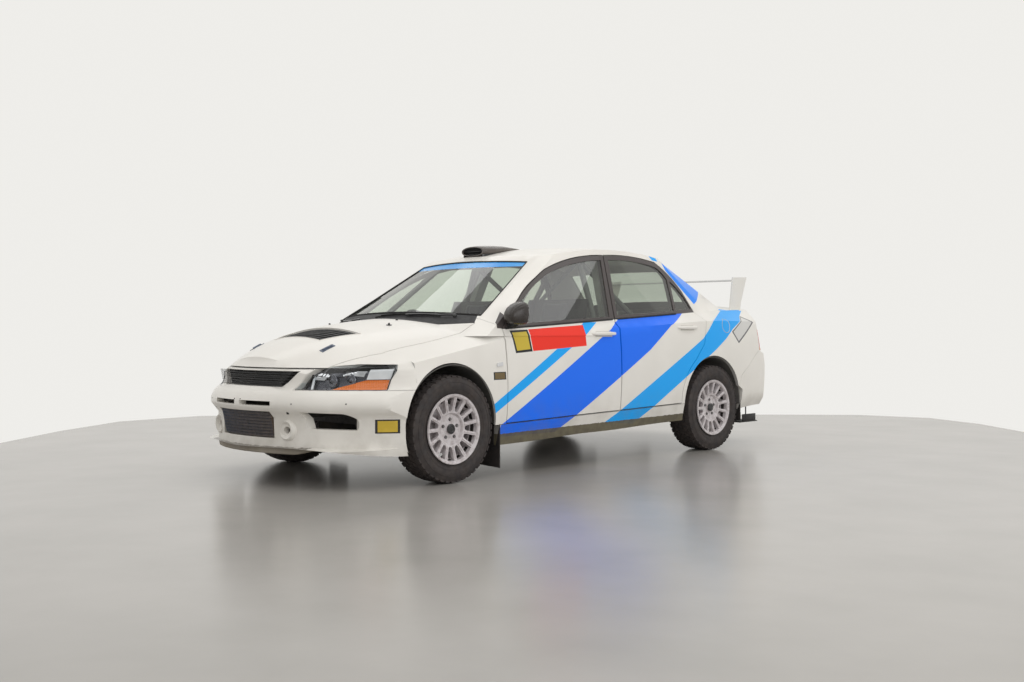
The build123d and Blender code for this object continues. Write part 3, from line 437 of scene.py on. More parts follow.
FINISHES = {
    "body_paint": body_white,
    "skirt_paint": dirty_paint("skirt_white"),
    "cabin_paint": plastic("cabin_grey", (0.40, 0.40, 0.39, 1), 0.6, 300.0),
    "black_plastic": black_plastic,
    "carbon": composite,
    "screen_glass": glass("side_glass", (0.80, 0.83, 0.78, 1)),
    "lamp": glass("lens_glass", (0.93, 0.95, 0.96, 1), index=1.35),
    "tail_lamp": red_lens,
    "seat_shell": plastic("seat_shell_black", (0.03, 0.03, 0.032, 1), 0.4),
    "rubber": rubber("flap_rubber", (0.02, 0.018, 0.018, 1), 0.35),
    "cast": cast_metal,
    "chassis": plastic("chassis_black", (0.035, 0.033, 0.032, 1), 0.65, 150.0, dust=0.6),
    "cooler": cooler_metal,
    "guard": metal("guard_metal", (0.42, 0.40, 0.37, 1), 0.45, 12.0),
    "steel": metal("pipe_metal", (0.30, 0.26, 0.23, 1), 0.4, 9.0),
    "wheel_paint": wheel_white,
    "tyre": tyre_rubber,
}
DOORS = [f"door_{end}_{side}" for end in ENDS for side, _ in SIDES]
OWN_FINISHES = {
    "body_side_left": side_white,
    "body_side_right": side_white,
    "front_fenders": side_white,
    "front_bumper": bumper_white,
    "roll_cage": plastic("cage_grey", (0.16, 0.165, 0.17, 1), 0.45, 500.0),
    "windscreen": glass("screen_glass", (0.90, 0.94, 0.90, 1), strip=True),
    "rear_window": glass("back_glass", (0.80, 0.83, 0.80, 1)),
    "rear_shelf": side_white,
    "rear_wing": wing_paint(),
    "mirror_left": plastic("mirror_black", (0.055, 0.045, 0.038, 1), 0.35, 500.0),
    "front_liners": liner_black,
    "rear_liners": liner_black,
    **{door: door_white for door in DOORS},
}
for part in frame["record"]["subparts"]:
    name = part["node"]
    finish = OWN_FINISHES.get(name, FINISHES[part["material_slot"]])
    nodes[name].data.materials.clear()
    nodes[name].data.materials.append(finish.material)

PANELS = (
    "body_side_left", "body_side_right", "bonnet", "boot_lid", "front_bumper", "front_fenders", "rear_bumper",
    "roof_panel", *DOORS, "side_skirts",
)
WELD_DISTANCE = 0.00002
PANEL_ANGLE = math.radians(38)
for name in PANELS:
    add_modifier = nodes[name].modifiers.new
    add_modifier("weld", "WELD").merge_threshold = WELD_DISTANCE
    add_modifier("split", "EDGE_SPLIT").split_angle = PANEL_ANGLE
    add_modifier("normals", "WEIGHTED_NORMAL")


# Ways to make pieces.
SHARP_ANGLE = math.radians(35)


def mesh_data(name, mesh, finish):
    """A mesh of this bmesh, which is used up."""
    data = bpy.data.meshes.new(name)
    mesh.to_mesh(data)
    mesh.free()
    data.materials.append(finish.material)
    return data


def add_object(name, data):
    made = bpy.data.objects.new(name, data)
    bpy.context.scene.collection.objects.link(made)
    return made


def shaded_data(name, mesh, finish, angle):
    bmesh.ops.recalc_face_normals(mesh, faces=mesh.faces)
    data = mesh_data(name, mesh, finish)
    data.shade_smooth()
    data.set_sharp_from_angle(angle=angle)
    return data


def piece(name, mesh, finish, body="root", slot="black_plastic"):
    """An object of this bmesh, which is used up and rides on a body."""
    made = add_object(name, shaded_data(name, mesh, finish, SHARP_ANGLE))
    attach(made, body)
    return made


def turns(count, closed=False):
    """Even turns round a circle, with the first again at the end if closed."""
    return [2 * math.pi * step / count for step in range(count + closed)]


def grid_faces(mesh, rows, closed=False, ends=False):
    """Joins rows of vertices with faces. closed joins each row's ends, and ends fills the first and last row."""
    for first, second in zip(rows, rows[1:]):
        if closed:
            first, second = first + first[:1], second + second[:1]
        for corners in zip(first, first[1:], second[1:], second):
            mesh.faces.new(corners)
    if ends:
        mesh.faces.new(rows[0])
        mesh.faces.new(rows[-1])


def add_sheet(mesh, top, bottom):
    """A plate between two grids of vertices."""
    grid_faces(mesh, top)
    grid_faces(mesh, bottom)
    rims = [
        grid[0] + [row[-1] for row in grid[1:]] + grid[-1][-2::-1] + [row[0] for row in grid[-2:0:-1]]
        for grid in (top, bottom)
    ]
    grid_faces(mesh, rims, closed=True)


def add_oval(mesh, aft, across, up, half, rise, steps, power=1):
    """A ring of vertices round a place, squarer where power is below 1."""
    row = []
    for turn in turns(steps):
        x, z = (math.copysign(abs(part) ** power, part) for part in (math.cos(turn), math.sin(turn)))
        row.append(mesh.verts.new(at(across + half * x, aft, up + rise * z)))
    return row


def add_ring(mesh, middle, side, other, radius, steps):
    """Vertices round a place, in the plane of two directions."""
    return [
        mesh.verts.new(middle + (side * math.cos(turn) + other * math.sin(turn)) * radius)
        for turn in turns(steps)
    ]


def run_at(points, index):
    """From the place before this one to the place after it."""
    return points[min(index + 1, len(points) - 1)] - points[max(index - 1, 0)]


def add_tube(mesh, points, radius, sides):
    """A round bar along these places, with closed ends."""
    rows = []
    for index, point in enumerate(points):
        run = run_at(points, index).normalized()
        first = run.orthogonal() if not rows else (side - run * side.dot(run))
        side = first.normalized()
        rows.append(add_ring(mesh, point, side, run.cross(side), radius, sides))
    grid_faces(mesh, rows, closed=True, ends=True)


def add_lathe(mesh, profile, start, axis, steps):
    """Turns a profile of (distance along the axis, radius), in metres, about an axis."""
    axis = axis.normalized()
    side = axis.orthogonal().normalized()
    other = axis.cross(side)
    rows = [add_ring(mesh, start + axis * along, side, other, radius, steps) for along, radius in profile]
    grid_faces(mesh, rows, closed=True, ends=True)


def add_block(mesh, low, high, bevel):
    """A block between two corners, with rounded edges."""
    size = high - low
    place = Matrix.Translation((low + high) / 2) @ Matrix.Diagonal((*(abs(part) for part in size), 1))
    made = bmesh.ops.create_cube(mesh, size=1, matrix=place)
    edges = list({edge for vertex in made["verts"] for edge in vertex.link_edges})
    bmesh.ops.bevel(mesh, geom=edges, offset=bevel, segments=2, affect="EDGES", profile=0.5)


def surface_of(*names):
    """The surface of these nodes, for casting rays on."""
    vertices, faces = [], []
    for name in names:
        data = nodes[name].data
        base = len(vertices)
        vertices.extend(vertex.co.copy() for vertex in data.vertices)
        faces.extend(tuple(base + index for index in polygon.vertices) for polygon in data.polygons)
    return BVHTree.FromPolygons(vertices, faces)


def landing(surface, start, direction):
    """Where a ray meets a surface, and the surface's outward normal there."""
    place, normal, _, _ = surface.ray_cast(start, direction)
    if place is None:
        place, normal, _, _ = surface.find_nearest(start)
    return place, normal if normal.dot(direction) < 0 else -normal


def across_quad(corners, u, v):
    """A place this share across and along four corners."""
    return (corners[0] * (1 - u) + corners[1] * u) * (1 - v) + (corners[3] * (1 - u) + corners[2] * u) * v


def add_patch(mesh, surface, corners, direction, steps, lift, thick):
    """A thin plate that lies on a surface, between four corners that are cast along direction."""
    across, along = steps
    top, bottom = [], []
    for row in range(along + 1):
        top.append([])
        bottom.append([])
        for column in range(across + 1):
            start = across_quad(corners, column / across, row / along)
            place, normal = landing(surface, start, direction)
            top[-1].append(mesh.verts.new(place + normal * lift))
            bottom[-1].append(mesh.verts.new(place - normal * (thick - lift)))
    add_sheet(mesh, top, bottom)


def tube_piece(name, points, radius, sides, *look):
    mesh = bmesh.new()
    add_tube(mesh, points, radius, sides)
    return piece(name, mesh, *look)


def lathe_piece(name, profile, start, axis, steps, *look):
    mesh = bmesh.new()
    add_lathe(mesh, profile, start, axis, steps)
    return piece(name, mesh, *look)


def patch_piece(name, surface, corners, direction, steps, lift, thick, *look):
    mesh = bmesh.new()
    add_patch(mesh, surface, corners, direction, steps, lift, thick)
    return piece(name, mesh, *look)


def on_surface(surface, places, direction, lift=0.0):
    """The places cast onto a surface, and lifted off it."""
    cast = [landing(surface, place, direction) for place in places]
    return [place + normal * lift for place, normal in cast]


def along_line(corners, steps):
    """Places evenly along straight runs between corners."""
    line = []
    for first, second in zip(corners, corners[1:]):
        line.extend(first.lerp(second, step / steps) for step in range(steps))
    return line + [corners[-1]]


UP = Vector((0, 0, 1))
DOWN = Vector((0, 0, -1))
BACKWARD = Vector((0, 1, 0))
FORWARD = Vector((0, -1, 0))
# Where rays onto the car start from.
OUTSIDE = 1200
INSIDE = 300
AHEAD = -1300
BEHIND = 4200
OVERHEAD = 1600
OVER_BONNET = 1100


def inward(sign):
    """Across the car towards its middle, from this side."""
    return Vector((-sign, 0, 0))


def beside(sign, corners, across=OUTSIDE):
    """Places of (aft, up) beside the car, to cast onto its flank."""
    return [at(sign * across, aft, up) for aft, up in corners]


# Tyres: a carcass with its sidewall rings, and rows of tread blocks.
TREAD_ROWS = 5
TREAD_PITCHES = 44
TREAD_HALF = 88
SHOULDER_HALF = 80
GROOVE = 7
CARCASS_R = TYRE_R - GROOVE
CARCASS_STEPS = 96
# One half of the carcass outside the tread, from its shoulder to the rim, as (across, radius).
SIDEWALL = (
    (76, CARCASS_R), (88, CARCASS_R - 6), (97, 286), (101.5, 266), (100, 250), (93, 226), (80, RIM_R + 8),
    (62, RIM_R + 4),
)
# Rings on the sidewall: radius, how far out, and thickness.
BEADS = ((214, 84, 2.2), (238, 96.5, 1.6), (276, 99.5, 1.8))
BLOCK_LENGTH = 0.74
BLOCK_WIDTH = 0.42
BLOCK_SLANT = 0.012
BLOCK_FACES = (
    (0, 1, 3, 2), (4, 5, 7, 6), (0, 1, 5, 4), (2, 3, 7, 6), (0, 2, 6, 4), (1, 3, 7, 5),
)
TYRE_SHARP_ANGLE = math.radians(28)


def round_hub(across, radius, turn):
    """A place round a wheel's hub, in metres from it."""
    return Vector((across / 1000, radius * math.cos(turn) / 1000, radius * math.sin(turn) / 1000))


def tread_block(mesh, row, pitch):
    width = 2 * TREAD_HALF / TREAD_ROWS
    middle = -TREAD_HALF + width * (row + 0.5)
    shoulder = row in (0, TREAD_ROWS - 1)
    turn = 2 * math.pi * (pitch + 0.5 * (row % 2)) / TREAD_PITCHES
    half_turn = math.pi / TREAD_PITCHES * BLOCK_LENGTH
    slant = BLOCK_SLANT * (1 if row % 2 else -1)
    corners = []
    for across, skew in ((middle - width * BLOCK_WIDTH, -slant), (middle + width * BLOCK_WIDTH, slant)):
        outer = shoulder and abs(across) > SHOULDER_HALF
        drop = 4 if outer else 0
        reach = across + math.copysign(7, across) if outer else across
        top = TYRE_R - drop - (across / TREAD_HALF) ** 2 * 2
        for radius, shrink in ((CARCASS_R - 8, 1.0), (top, 0.9)):
            for end in (-1, 1):
                place = round_hub(reach, radius, turn + skew + end * half_turn * shrink)
                corners.append(mesh.verts.new(place))
    for face in BLOCK_FACES:
        mesh.faces.new([corners[index] for index in face])


def tyre_mesh():
    mesh = bmesh.new()
    profile = [(-across, radius) for across, radius in reversed(SIDEWALL)]
    profile += [(-40, CARCASS_R + 1.5), (0, CARCASS_R + 2), (40, CARCASS_R + 1.5), *SIDEWALL]
    profile += [(62, RIM_R - 2), (-62, RIM_R - 2)]
    rows = [
        [mesh.verts.new(round_hub(across, radius, turn)) for across, radius in profile]
        for turn in turns(CARCASS_STEPS)
    ]
    grid_faces(mesh, rows + [rows[0]], closed=True)
    for side in (-1, 1):
        for radius, across, bead in BEADS:
            ring = [round_hub(side * across, radius, turn) for turn in turns(72, closed=True)]
            add_tube(mesh, ring, bead / 1000, 6)
    for row in range(TREAD_ROWS):
        for pitch in range(TREAD_PITCHES):
            tread_block(mesh, row, pitch)
    return shaded_data("tyre", mesh, tyre_rubber, TYRE_SHARP_ANGLE)


SPOKES = 15
SPOKE_REACH = range(104, 180, 12)
LUGS = 5
LUG_CIRCLE = 0.05715
WHEEL_FACE = 0.07
CAP_PROFILE = (
    (-0.006, 0.030), (0.002, 0.030), (0.006, 0.026), (0.007, 0.018), (0.004, 0.015), (0.0045, 0.004),
)


def wheel_parts(position, sign, hub):
    """Ridges on the spokes, wheel nuts and the centre cap of one wheel."""
    body = f"wheel_{position}"
    wheel = surface_of(body)
    out = Vector((sign, 0, 0))
    ridges = bmesh.new()
    for spoke in range(SPOKES):
        turn = 2 * math.pi * (spoke + 0.5) / SPOKES
        # The right wheels are the left ones mirrored.
        ray = Vector((0, sign * math.cos(turn), math.sin(turn)))
        line = [hub + out * 0.2 + ray * radius / 1000 for radius in SPOKE_REACH]
        add_tube(ridges, on_surface(wheel, line, -out, 0.0005), 0.0038, 8)
    piece(f"spoke_ridges_{position}", ridges, wheel_white, body, "wheel_paint")
    nuts = bmesh.new()
    for lug in range(LUGS):
        turn = 2 * math.pi * lug / LUGS + math.pi / 2
        ray = Vector((0, math.cos(turn), math.sin(turn)))
        base = hub + ray * LUG_CIRCLE + out * (WHEEL_FACE - 0.016)
        add_lathe(nuts, ((-0.008, 0.0095), (0.009, 0.0095), (0.011, 0.008)), base, out, 6)
    piece(f"wheel_nuts_{position}", nuts, cast_metal, body, "cast")
    lathe_piece(f"centre_cap_{position}", CAP_PROFILE, hub + out * WHEEL_FACE, out, 40, gloss_black, body)


def wheels():
    data = tyre_mesh()
    for end in ENDS:
        for side, sign in SIDES:
            position = f"{end}_{side}"
            hub = Vector(joints[f"wheel_{position}_spin"]["pos_m"])
            tyre = add_object(f"tread_{position}", data)
            tyre.location = hub
            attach(tyre, f"wheel_{position}")
            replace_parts(tyre, f"tyre_{position}")
            wheel_parts(position, sign, hub)


# Roof scoop: an oval mouth that runs back into a thin point, by (aft, half width, middle height, half height).
SCOOP_SHELL = (
    (958, 96, 1441, 27), (956, 108, 1442, 32), (966, 114, 1443, 35), (1000, 117, 1446, 37), (1060, 113, 1451, 36),
    (1130, 98, 1458, 32), (1210, 76, 1466, 26), (1300, 48, 1471, 17), (1380, 24, 1475, 9), (1436, 5, 1476, 3),
)
# Its throat by (aft, share of the mouth), and its foot on the roof by (aft, half width, height).
SCOOP_THROAT = ((964, 0.93), (1000, 0.86), (1060, 0.72), (1110, 0.4))
SCOOP_FOOT = ((962, 96, 30), (1000, 104, 30), (1080, 92, 27), (1150, 72, 20), (1220, 50, 10))
SCOOP_SQUARE = 0.85
SCREEN_AFT = 968
SCREEN_Z = 1443


def scoop():
    mesh = bmesh.new()
    outer = [
        add_oval(mesh, aft, 0, middle, half, rise, 36, SCOOP_SQUARE) for aft, half, middle, rise in SCOOP_SHELL
    ]
    inner = [
        add_oval(mesh, aft, 0, SCREEN_Z + (aft - 960) * 0.07, 108 * share, 32 * share, 36)
        for aft, share in SCOOP_THROAT
    ]
    grid_faces(mesh, outer, closed=True)
    grid_faces(mesh, [outer[0]] + inner, closed=True)
    mesh.faces.new(outer[-1])
    mesh.faces.new(inner[-1])
    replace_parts(piece("scoop_shell", mesh, composite, "root", "carbon"), "roof_scoop")
    roof = surface_of("roof_panel")
    foot = bmesh.new()
    rows = []
    for aft, half, rise in SCOOP_FOOT:
        starts = [at(half * math.cos(math.pi * step / 12), aft, OVERHEAD) for step in range(13)]
        ground = on_surface(roof, starts, DOWN)
        heights = [-0.001] + [rise / 1000] * 11 + [-0.001]
        rows.append([foot.verts.new(place + UP * height) for place, height in zip(ground, heights)])
    grid_faces(foot, rows)
    piece("scoop_foot", foot, gloss_black, "root", "carbon")
    screen = bmesh.new()
    for index in range(-9, 10):
        reach = 34 * math.sqrt(1 - (index / 9.6) ** 2) * 0.9
        line = [at(index * 11, SCREEN_AFT, SCREEN_Z + rise) for rise in (-reach, reach)]
        add_tube(screen, line, 0.0012, 5)
    for index in range(-2, 3):
        reach = 104 * math.sqrt(1 - (index / 2.9) ** 2)
        line = [at(across, SCREEN_AFT, SCREEN_Z + index * 10.5) for across in (-reach, reach)]
        add_tube(screen, line, 0.0012, 5)
    piece("scoop_mesh", screen, gloss_black, "root", "carbon")


# Door mirror: a teardrop housing by (aft, across, height, half width, half height), its glass and its stalk.
MIRROR_SHELL = (
    (436, 858, 976, 12, 8), (441, 858, 977, 30, 22), (454, 857, 981, 44, 38), (478, 856, 988, 56, 53),
    (510, 854, 995, 64, 64), (545, 851, 1000, 69, 71), (562, 850, 1001, 70, 72), (568, 850, 1001, 68, 69),
    (566, 850, 1001, 64, 65), (556, 850, 1001, 62, 63),
)
MIRROR_GLASS = (558, 850, 1001, 60, 61)
MIRROR_SQUARE = 0.62


def mirror():
    body = "door_front_left"
    mesh = bmesh.new()
    rows = [add_oval(mesh, *station, 32, MIRROR_SQUARE) for station in MIRROR_SHELL]
    grid_faces(mesh, rows, closed=True)
    mesh.faces.new(rows[0])
    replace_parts(piece("mirror_housing", mesh, mirror_paint, body), "mirror_left")
    plate = bmesh.new()
    plate.faces.new(add_oval(plate, *MIRROR_GLASS, 32, MIRROR_SQUARE))
    piece("mirror_glass", plate, chrome, body)
    stalk = bmesh.new()
    for line, radius in (
        ((at(790, 515, 922), at(822, 515, 926), at(846, 522, 940)), 0.017),
        ((at(790, 545, 922), at(820, 543, 926), at(846, 538, 940)), 0.015),
    ):
        add_tube(stalk, line, radius, 12)
    add_block(stalk, at(786, 502, 908), at(826, 558, 936), 0.006)
    piece("mirror_stalk", stalk, black_plastic, body)


# Headlamps: a dark bowl with reflectors and the turn signal behind the clear lens.
# The lens runs between corners of (across, aft, up) at its foot and at its top.
LAMP_FOOT = ((386, -782, 563), (816, -440, 560))
LAMP_TOP = ((430, -722, 676), (806, -352, 694))
# What lies behind it: corners as shares across and up the lens, lift off it and thickness.
LAMP_PARTS = (
    ("lamp_bowl", lamp_bowl, ((0.02, 0.02), (0.99, 0.02), (0.99, 0.98), (0.02, 0.98)), -0.034, 0.003),
    ("turn_signal", lamp_orange, ((0.37, 0.03), (0.975, 0.03), (0.97, 0.43), (0.70, 0.43)), -0.007, 0.008),
    ("white_reflector", clear_lens, ((0.70, 0.46), (0.95, 0.46), (0.935, 0.93), (0.69, 0.93)), -0.008, 0.010),
    ("inner_facet", chrome, ((0.07, 0.50), (0.25, 0.44), (0.28, 0.80), (0.11, 0.88)), -0.014, 0.006),
    ("upper_facet", chrome, ((0.42, 0.70), (0.66, 0.58), (0.66, 0.92), (0.42, 0.93)), -0.018, 0.004),
)
# Dishes by shares and radius, and their profile by (distance, share of the radius).
LAMP_DISHES = ((0.33, 0.40, 0.040), (0.53, 0.42, 0.037))
DISH_PROFILE = (
    (0.0, 1.05), (0.004, 1), (0.001, 0.92), (-0.012, 0.6), (-0.010, 0.5), (0.0, 0.42), (0.005, 0.25),
    (0.006, 0.05),
)
DISH_DEPTH = 0.022


def lamps():
    lens = surface_of("headlamps")
    for side, sign in SIDES:
        aim = Vector((-sign * 0.62, 0.78, 0)).normalized()

        def before(places):
            """These shares of the lens, moved out in front of it."""
            corners = [at(sign * across, aft, up) for across, aft, up in LAMP_FOOT + LAMP_TOP]
            return [
                corners[0].lerp(corners[1], u).lerp(corners[2].lerp(corners[3], u), v) - aim * 0.1
                for u, v in places
            ]

        for name, finish, shares, lift, thick in LAMP_PARTS:
            patch_piece(f"{name}_{side}", lens, before(shares), aim, (16, 8), lift, thick, finish, "root", "lamp")
        for index, (u, v, radius) in enumerate(LAMP_DISHES):
            centre, _ = landing(lens, before([(u, v)])[0], aim)
            profile = [(along, radius * share) for along, share in DISH_PROFILE]
            axis = FORWARD + Vector((sign * 0.25, 0, 0))
            lathe_piece(
                f"lamp_dish_{index}_{side}", profile, centre + aim * DISH_DEPTH, axis, 40,
                dark_chrome, "root", "lamp",
            )
        outline = ((0.0, 0.0), (0.0, 1.0), (1.0, 1.0), (1.0, 0.0), (0.0, 0.0))
        line = []
        for (u0, v0), (u1, v1) in zip(outline, outline[1:]):
            line += [(u0 + (u1 - u0) * step / 14, v0 + (v1 - v0) * step / 14) for step in range(14)]
        places = on_surface(lens, before(line + [line[0]]), aim, -0.003)
        tube_piece(f"lamp_seal_{side}", places, 0.0032, 8, gloss_black, "root", "lamp")


# The nose: scuffed splitter, towing eye rings, bolt heads, cooler and the fine mesh in the grille.
SPLITTER_HALF = 492
SPLITTER_STEPS = 48
SPLITTER_TAPER = 90
TOW_X = 350
TOW_Z = 333
TOW_PROFILE = (
    (-0.035, 0.064), (-0.004, 0.062), (0.007, 0.057), (0.012, 0.051), (0.011, 0.046), (0.006, 0.041),
    (-0.004, 0.028), (-0.024, 0.0205),
)
# Screws in the bumper: across, up and radius.
BUMPER_SCREWS = ((379, 430, 0.0085), (419, 484, 0.004), (690, 488, 0.004), (30, 500, 0.004))
COOLER_LOW, COOLER_HIGH = 278, 442
COOLER_HALF = 257
CORE_LOW, CORE_PITCH = 297, 18
# One tube of the cooler's core: how far back and how far up.
CORE_SHAPE = (
    (0.006, -0.0088), (0, -0.006), (0, 0.006), (0.006, 0.0088), (0.03, 0.0088), (0.03, -0.0088),
)
GRILLE_LOW, GRILLE_HIGH = 574, 664
GRILLE_LOW_HALF, GRILLE_HIGH_HALF = 296, 388
GRILLE_WIDENS = GRILLE_HIGH_HALF - GRILLE_LOW_HALF
GRILLE_TALL = GRILLE_HIGH - GRILLE_LOW
WIRE_R = 0.0011


def splitter(bumper):
    mesh = bmesh.new()
    rows = []
    for step in range(SPLITTER_STEPS + 1):
        across = -SPLITTER_HALF + 2 * SPLITTER_HALF * step / SPLITTER_STEPS
        face, _ = landing(bumper, at(across, AHEAD, 246), BACKWARD)
        taper = min(1, (SPLITTER_HALF - abs(across)) / SPLITTER_TAPER)
        low, high = 219 - 24 * taper, 221 + 14 * taper
        front = face.y - 0.004 * taper + 0.002
        section = (
            (front + 0.003, high), (front, high - 3 * taper), (front + 0.001, low + 5 * taper),
            (front + 0.006, low), (front + 0.045, low + 2), (front + 0.045, high),
        )
        rows.append([mesh.verts.new((across / 1000, y, up / 1000)) for y, up in section])
    grid_faces(mesh, rows, closed=True, ends=True)
    piece("front_splitter", mesh, scuffed_lip, "root", "body_paint")


def tow_rings(bumper):
    for side, sign in SIDES:
        ring = bmesh.new()
        starts = [at(sign * TOW_X + shift, AHEAD, TOW_Z) for shift in (-34, 34)]
        face = sum(on_surface(bumper, starts, BACKWARD), Vector()) / 2
        axis = FORWARD + Vector((sign * 0.12, 0, 0))
        add_lathe(ring, TOW_PROFILE, face - Vector((0, 0.002, 0)), axis, 48)
        for cover in [item for item in ring.faces if len(item.verts) > 4]:
            ring.faces.remove(cover)
        piece(f"tow_ring_{side}", ring, bumper_white, "root", "body_paint")
        screws = bmesh.new()
        for across, up, radius in BUMPER_SCREWS:
            place, normal = landing(bumper, at(sign * across, AHEAD, up), BACKWARD)
            profile = ((-0.003, radius), (0.0012, radius), (0.0018, radius * 0.7))
            add_lathe(screws, profile, place, normal, 20)
        piece(f"bumper_screws_{side}", screws, gloss_black)


def cooler(bumper):
    def cooler_face(across, up):
        low, high = on_surface(bumper, [at(across, AHEAD, z) for z in (COOLER_LOW, COOLER_HIGH)], BACKWARD)
        share = (up - COOLER_LOW) / (COOLER_HIGH - COOLER_LOW)
        return Vector((across / 1000, low.y + (high.y - low.y) * share + 0.014, up / 1000))

    core = bmesh.new()
    for row in range(8):
        places = [cooler_face(COOLER_HALF * share / 8, CORE_LOW + CORE_PITCH * row) for share in range(-8, 9)]
        rows = [
            [core.verts.new(place + Vector((0, depth, rise))) for depth, rise in CORE_SHAPE] for place in places
        ]
        grid_faces(core, rows, closed=True, ends=True)
    piece("cooler_front", core, cooler_metal, "root", "cooler")
    fins = bmesh.new()
    for step in range(-42, 43):
        line = [cooler_face(6 * step, up) - Vector((0, 0.001, 0)) for up in (289, 433)]
        add_tube(fins, line, 0.0008, 4)
    piece("cooler_mesh", fins, latch_metal, "root", "cooler")


def grille_mesh():
    def behind(across, up):
        return at(across, -838 + 0.00012 * across * across + (up - GRILLE_LOW) * 0.30, up)

    wires = bmesh.new()
    for step in range(-30, 31):
        across = step * 12.5
        past = max(0, abs(across) - GRILLE_LOW_HALF)
        low = GRILLE_LOW + 2 + past * GRILLE_TALL / GRILLE_WIDENS
        if abs(across) < GRILLE_HIGH_HALF - 8 and low < GRILLE_HIGH - 6:
            add_tube(wires, [behind(across, low), behind(across, GRILLE_HIGH - 2)], WIRE_R, 4)
    for step in range(8):
        up = 580 + 11.5 * step
        half = GRILLE_LOW_HALF + (up - GRILLE_LOW) * GRILLE_WIDENS / GRILLE_TALL - 3
        add_tube(wires, [behind(half * share / 6, up) for share in range(-6, 7)], WIRE_R, 4)
    piece("grille_mesh", wires, gloss_black)


# On the bonnet: latches, pins, the vent's rim and the washer jets.
LATCH = ((348, -588), (380, -588), (386, -502), (354, -502))
LATCH_LEVER = [(362 + 2 * step, -575 + 12 * step) for step in range(6)]
PIN_PLACE = (304, -36)
PIN_PROFILE = ((-0.002, 0.019), (0.002, 0.019), (0.003, 0.016), (0.003, 0.007), (0.012, 0.006), (0.014, 0.004))
VENT_RIM = ((236, -504), (352, -291), (-352, -291), (-236, -504), (236, -504))
JET_PLACE = (190, 120)
JET_PROFILE = ((-0.002, 0.009), (0.004, 0.008), (0.007, 0.005))


def bonnet_parts():
    bonnet = surface_of("bonnet")

    def over(sign, places):
        return [at(sign * across, aft, OVER_BONNET) for across, aft in places]

    for side, sign in SIDES:
        latch = bmesh.new()
        add_patch(latch, bonnet, over(sign, LATCH), DOWN, (4, 8), 0.003, 0.006)
        add_tube(latch, on_surface(bonnet, over(sign, LATCH_LEVER), DOWN, 0.005), 0.005, 8)
        piece(f"bonnet_latch_{side}", latch, latch_metal, "bonnet")
        place, normal = landing(bonnet, over(sign, [PIN_PLACE])[0], DOWN)
        lathe_piece(f"bonnet_pin_{side}", PIN_PROFILE, place, normal, 24, gloss_black, "bonnet")
    rim = on_surface(bonnet, along_line(over(1, VENT_RIM), 12), DOWN)
    tube_piece("vent_rim", rim, 0.0035, 8, body_white, "bonnet", "body_paint")
    for side, sign in SIDES:
        place, normal = landing(bonnet, over(sign, [JET_PLACE])[0], DOWN)
        lathe_piece(f"washer_jet_{side}", JET_PROFILE, place, normal, 16, black_plastic, "bonnet")


def nose():
    bumper = surface_of("front_bumper")
    splitter(bumper)
    tow_rings(bumper)
    cooler(bumper)
    grille_mesh()
    bonnet_parts()


# Screens: the windscreen's seal and the wipers.
SEAL_TOP_HALF, SEAL_TOP = 520, 1347
SEAL_LOW_HALF, SEAL_LOW = 670, 989
# Each wiper's pivot, the knee and end of its arm, and its blade's two ends, by (across, aft).
WIPERS = (
    ((515, 322), (420, 292), (130, 250), (-170, 238), (420, 285)),
    ((-330, 232), (-420, 235), (-560, 276), (-690, 338), (-360, 214)),
)
PIVOT_PROFILE = ((-0.004, 0.012), (0.014, 0.011), (0.018, 0.008))


def screens():
    widens, tall = SEAL_LOW_HALF - SEAL_TOP_HALF, SEAL_TOP - SEAL_LOW
    outline = [(SEAL_TOP_HALF * step / 8, SEAL_TOP + 15 - 15 * (step / 8) ** 2) for step in range(8, -9, -1)]
    outline += [(-SEAL_TOP_HALF - widens * step / 10, SEAL_TOP - tall * step / 10) for step in range(1, 11)]
    outline += [(SEAL_LOW_HALF * step / 9, SEAL_LOW + 22 - 22 * (step / 9) ** 2) for step in range(-8, 10)]
    outline += [(SEAL_LOW_HALF - widens * step / 10, SEAL_LOW + tall * step / 10) for step in range(1, 11)]
    starts = [at(across, -300, up) for across, up in outline]
    seal = on_surface(surface_of("windscreen"), starts, BACKWARD, 0.0015)
    tube_piece("windscreen_seal", seal, 0.006, 8, seal_rubber)
    base = surface_of("windscreen", "cowl_panel")
    for index, places in enumerate(WIPERS):
        pivot, knee, tip, start, end = (at(*place, OVERHEAD) for place in places)
        arm = bmesh.new()
        add_tube(arm, on_surface(base, along_line([pivot, knee, tip], 8), DOWN, 0.013), 0.0055, 8)
        place, normal = landing(base, pivot, DOWN)
        add_lathe(arm, PIVOT_PROFILE, place, normal, 20)
        piece(f"wiper_arm_{index}", arm, gloss_black)
        blade = bmesh.new()
        line = along_line([start, end], 20)
        add_tube(blade, on_surface(base, line, DOWN, 0.006), 0.0045, 6)
        add_tube(blade, on_surface(base, line[2:-2], DOWN, 0.013), 0.004, 6)
        piece(f"wiper_blade_{index}", blade, seal_rubber, "root", "rubber")


# Door trim: handles with their locks, painted shade in the cup behind each handle, and belt strips.
# Each handle's first and last aft and its height, and each strip's first and last aft.
HANDLES = (("front", 1258, 1496, 873), ("rear", 2196, 2424, 915))
BELT_STRIPS = (("front", 470, 1520), ("rear", 1552, 2290))
LOCK_PROFILE = ((-0.002, 0.010), (0.012, 0.010), (0.014, 0.008), (0.0135, 0.002))


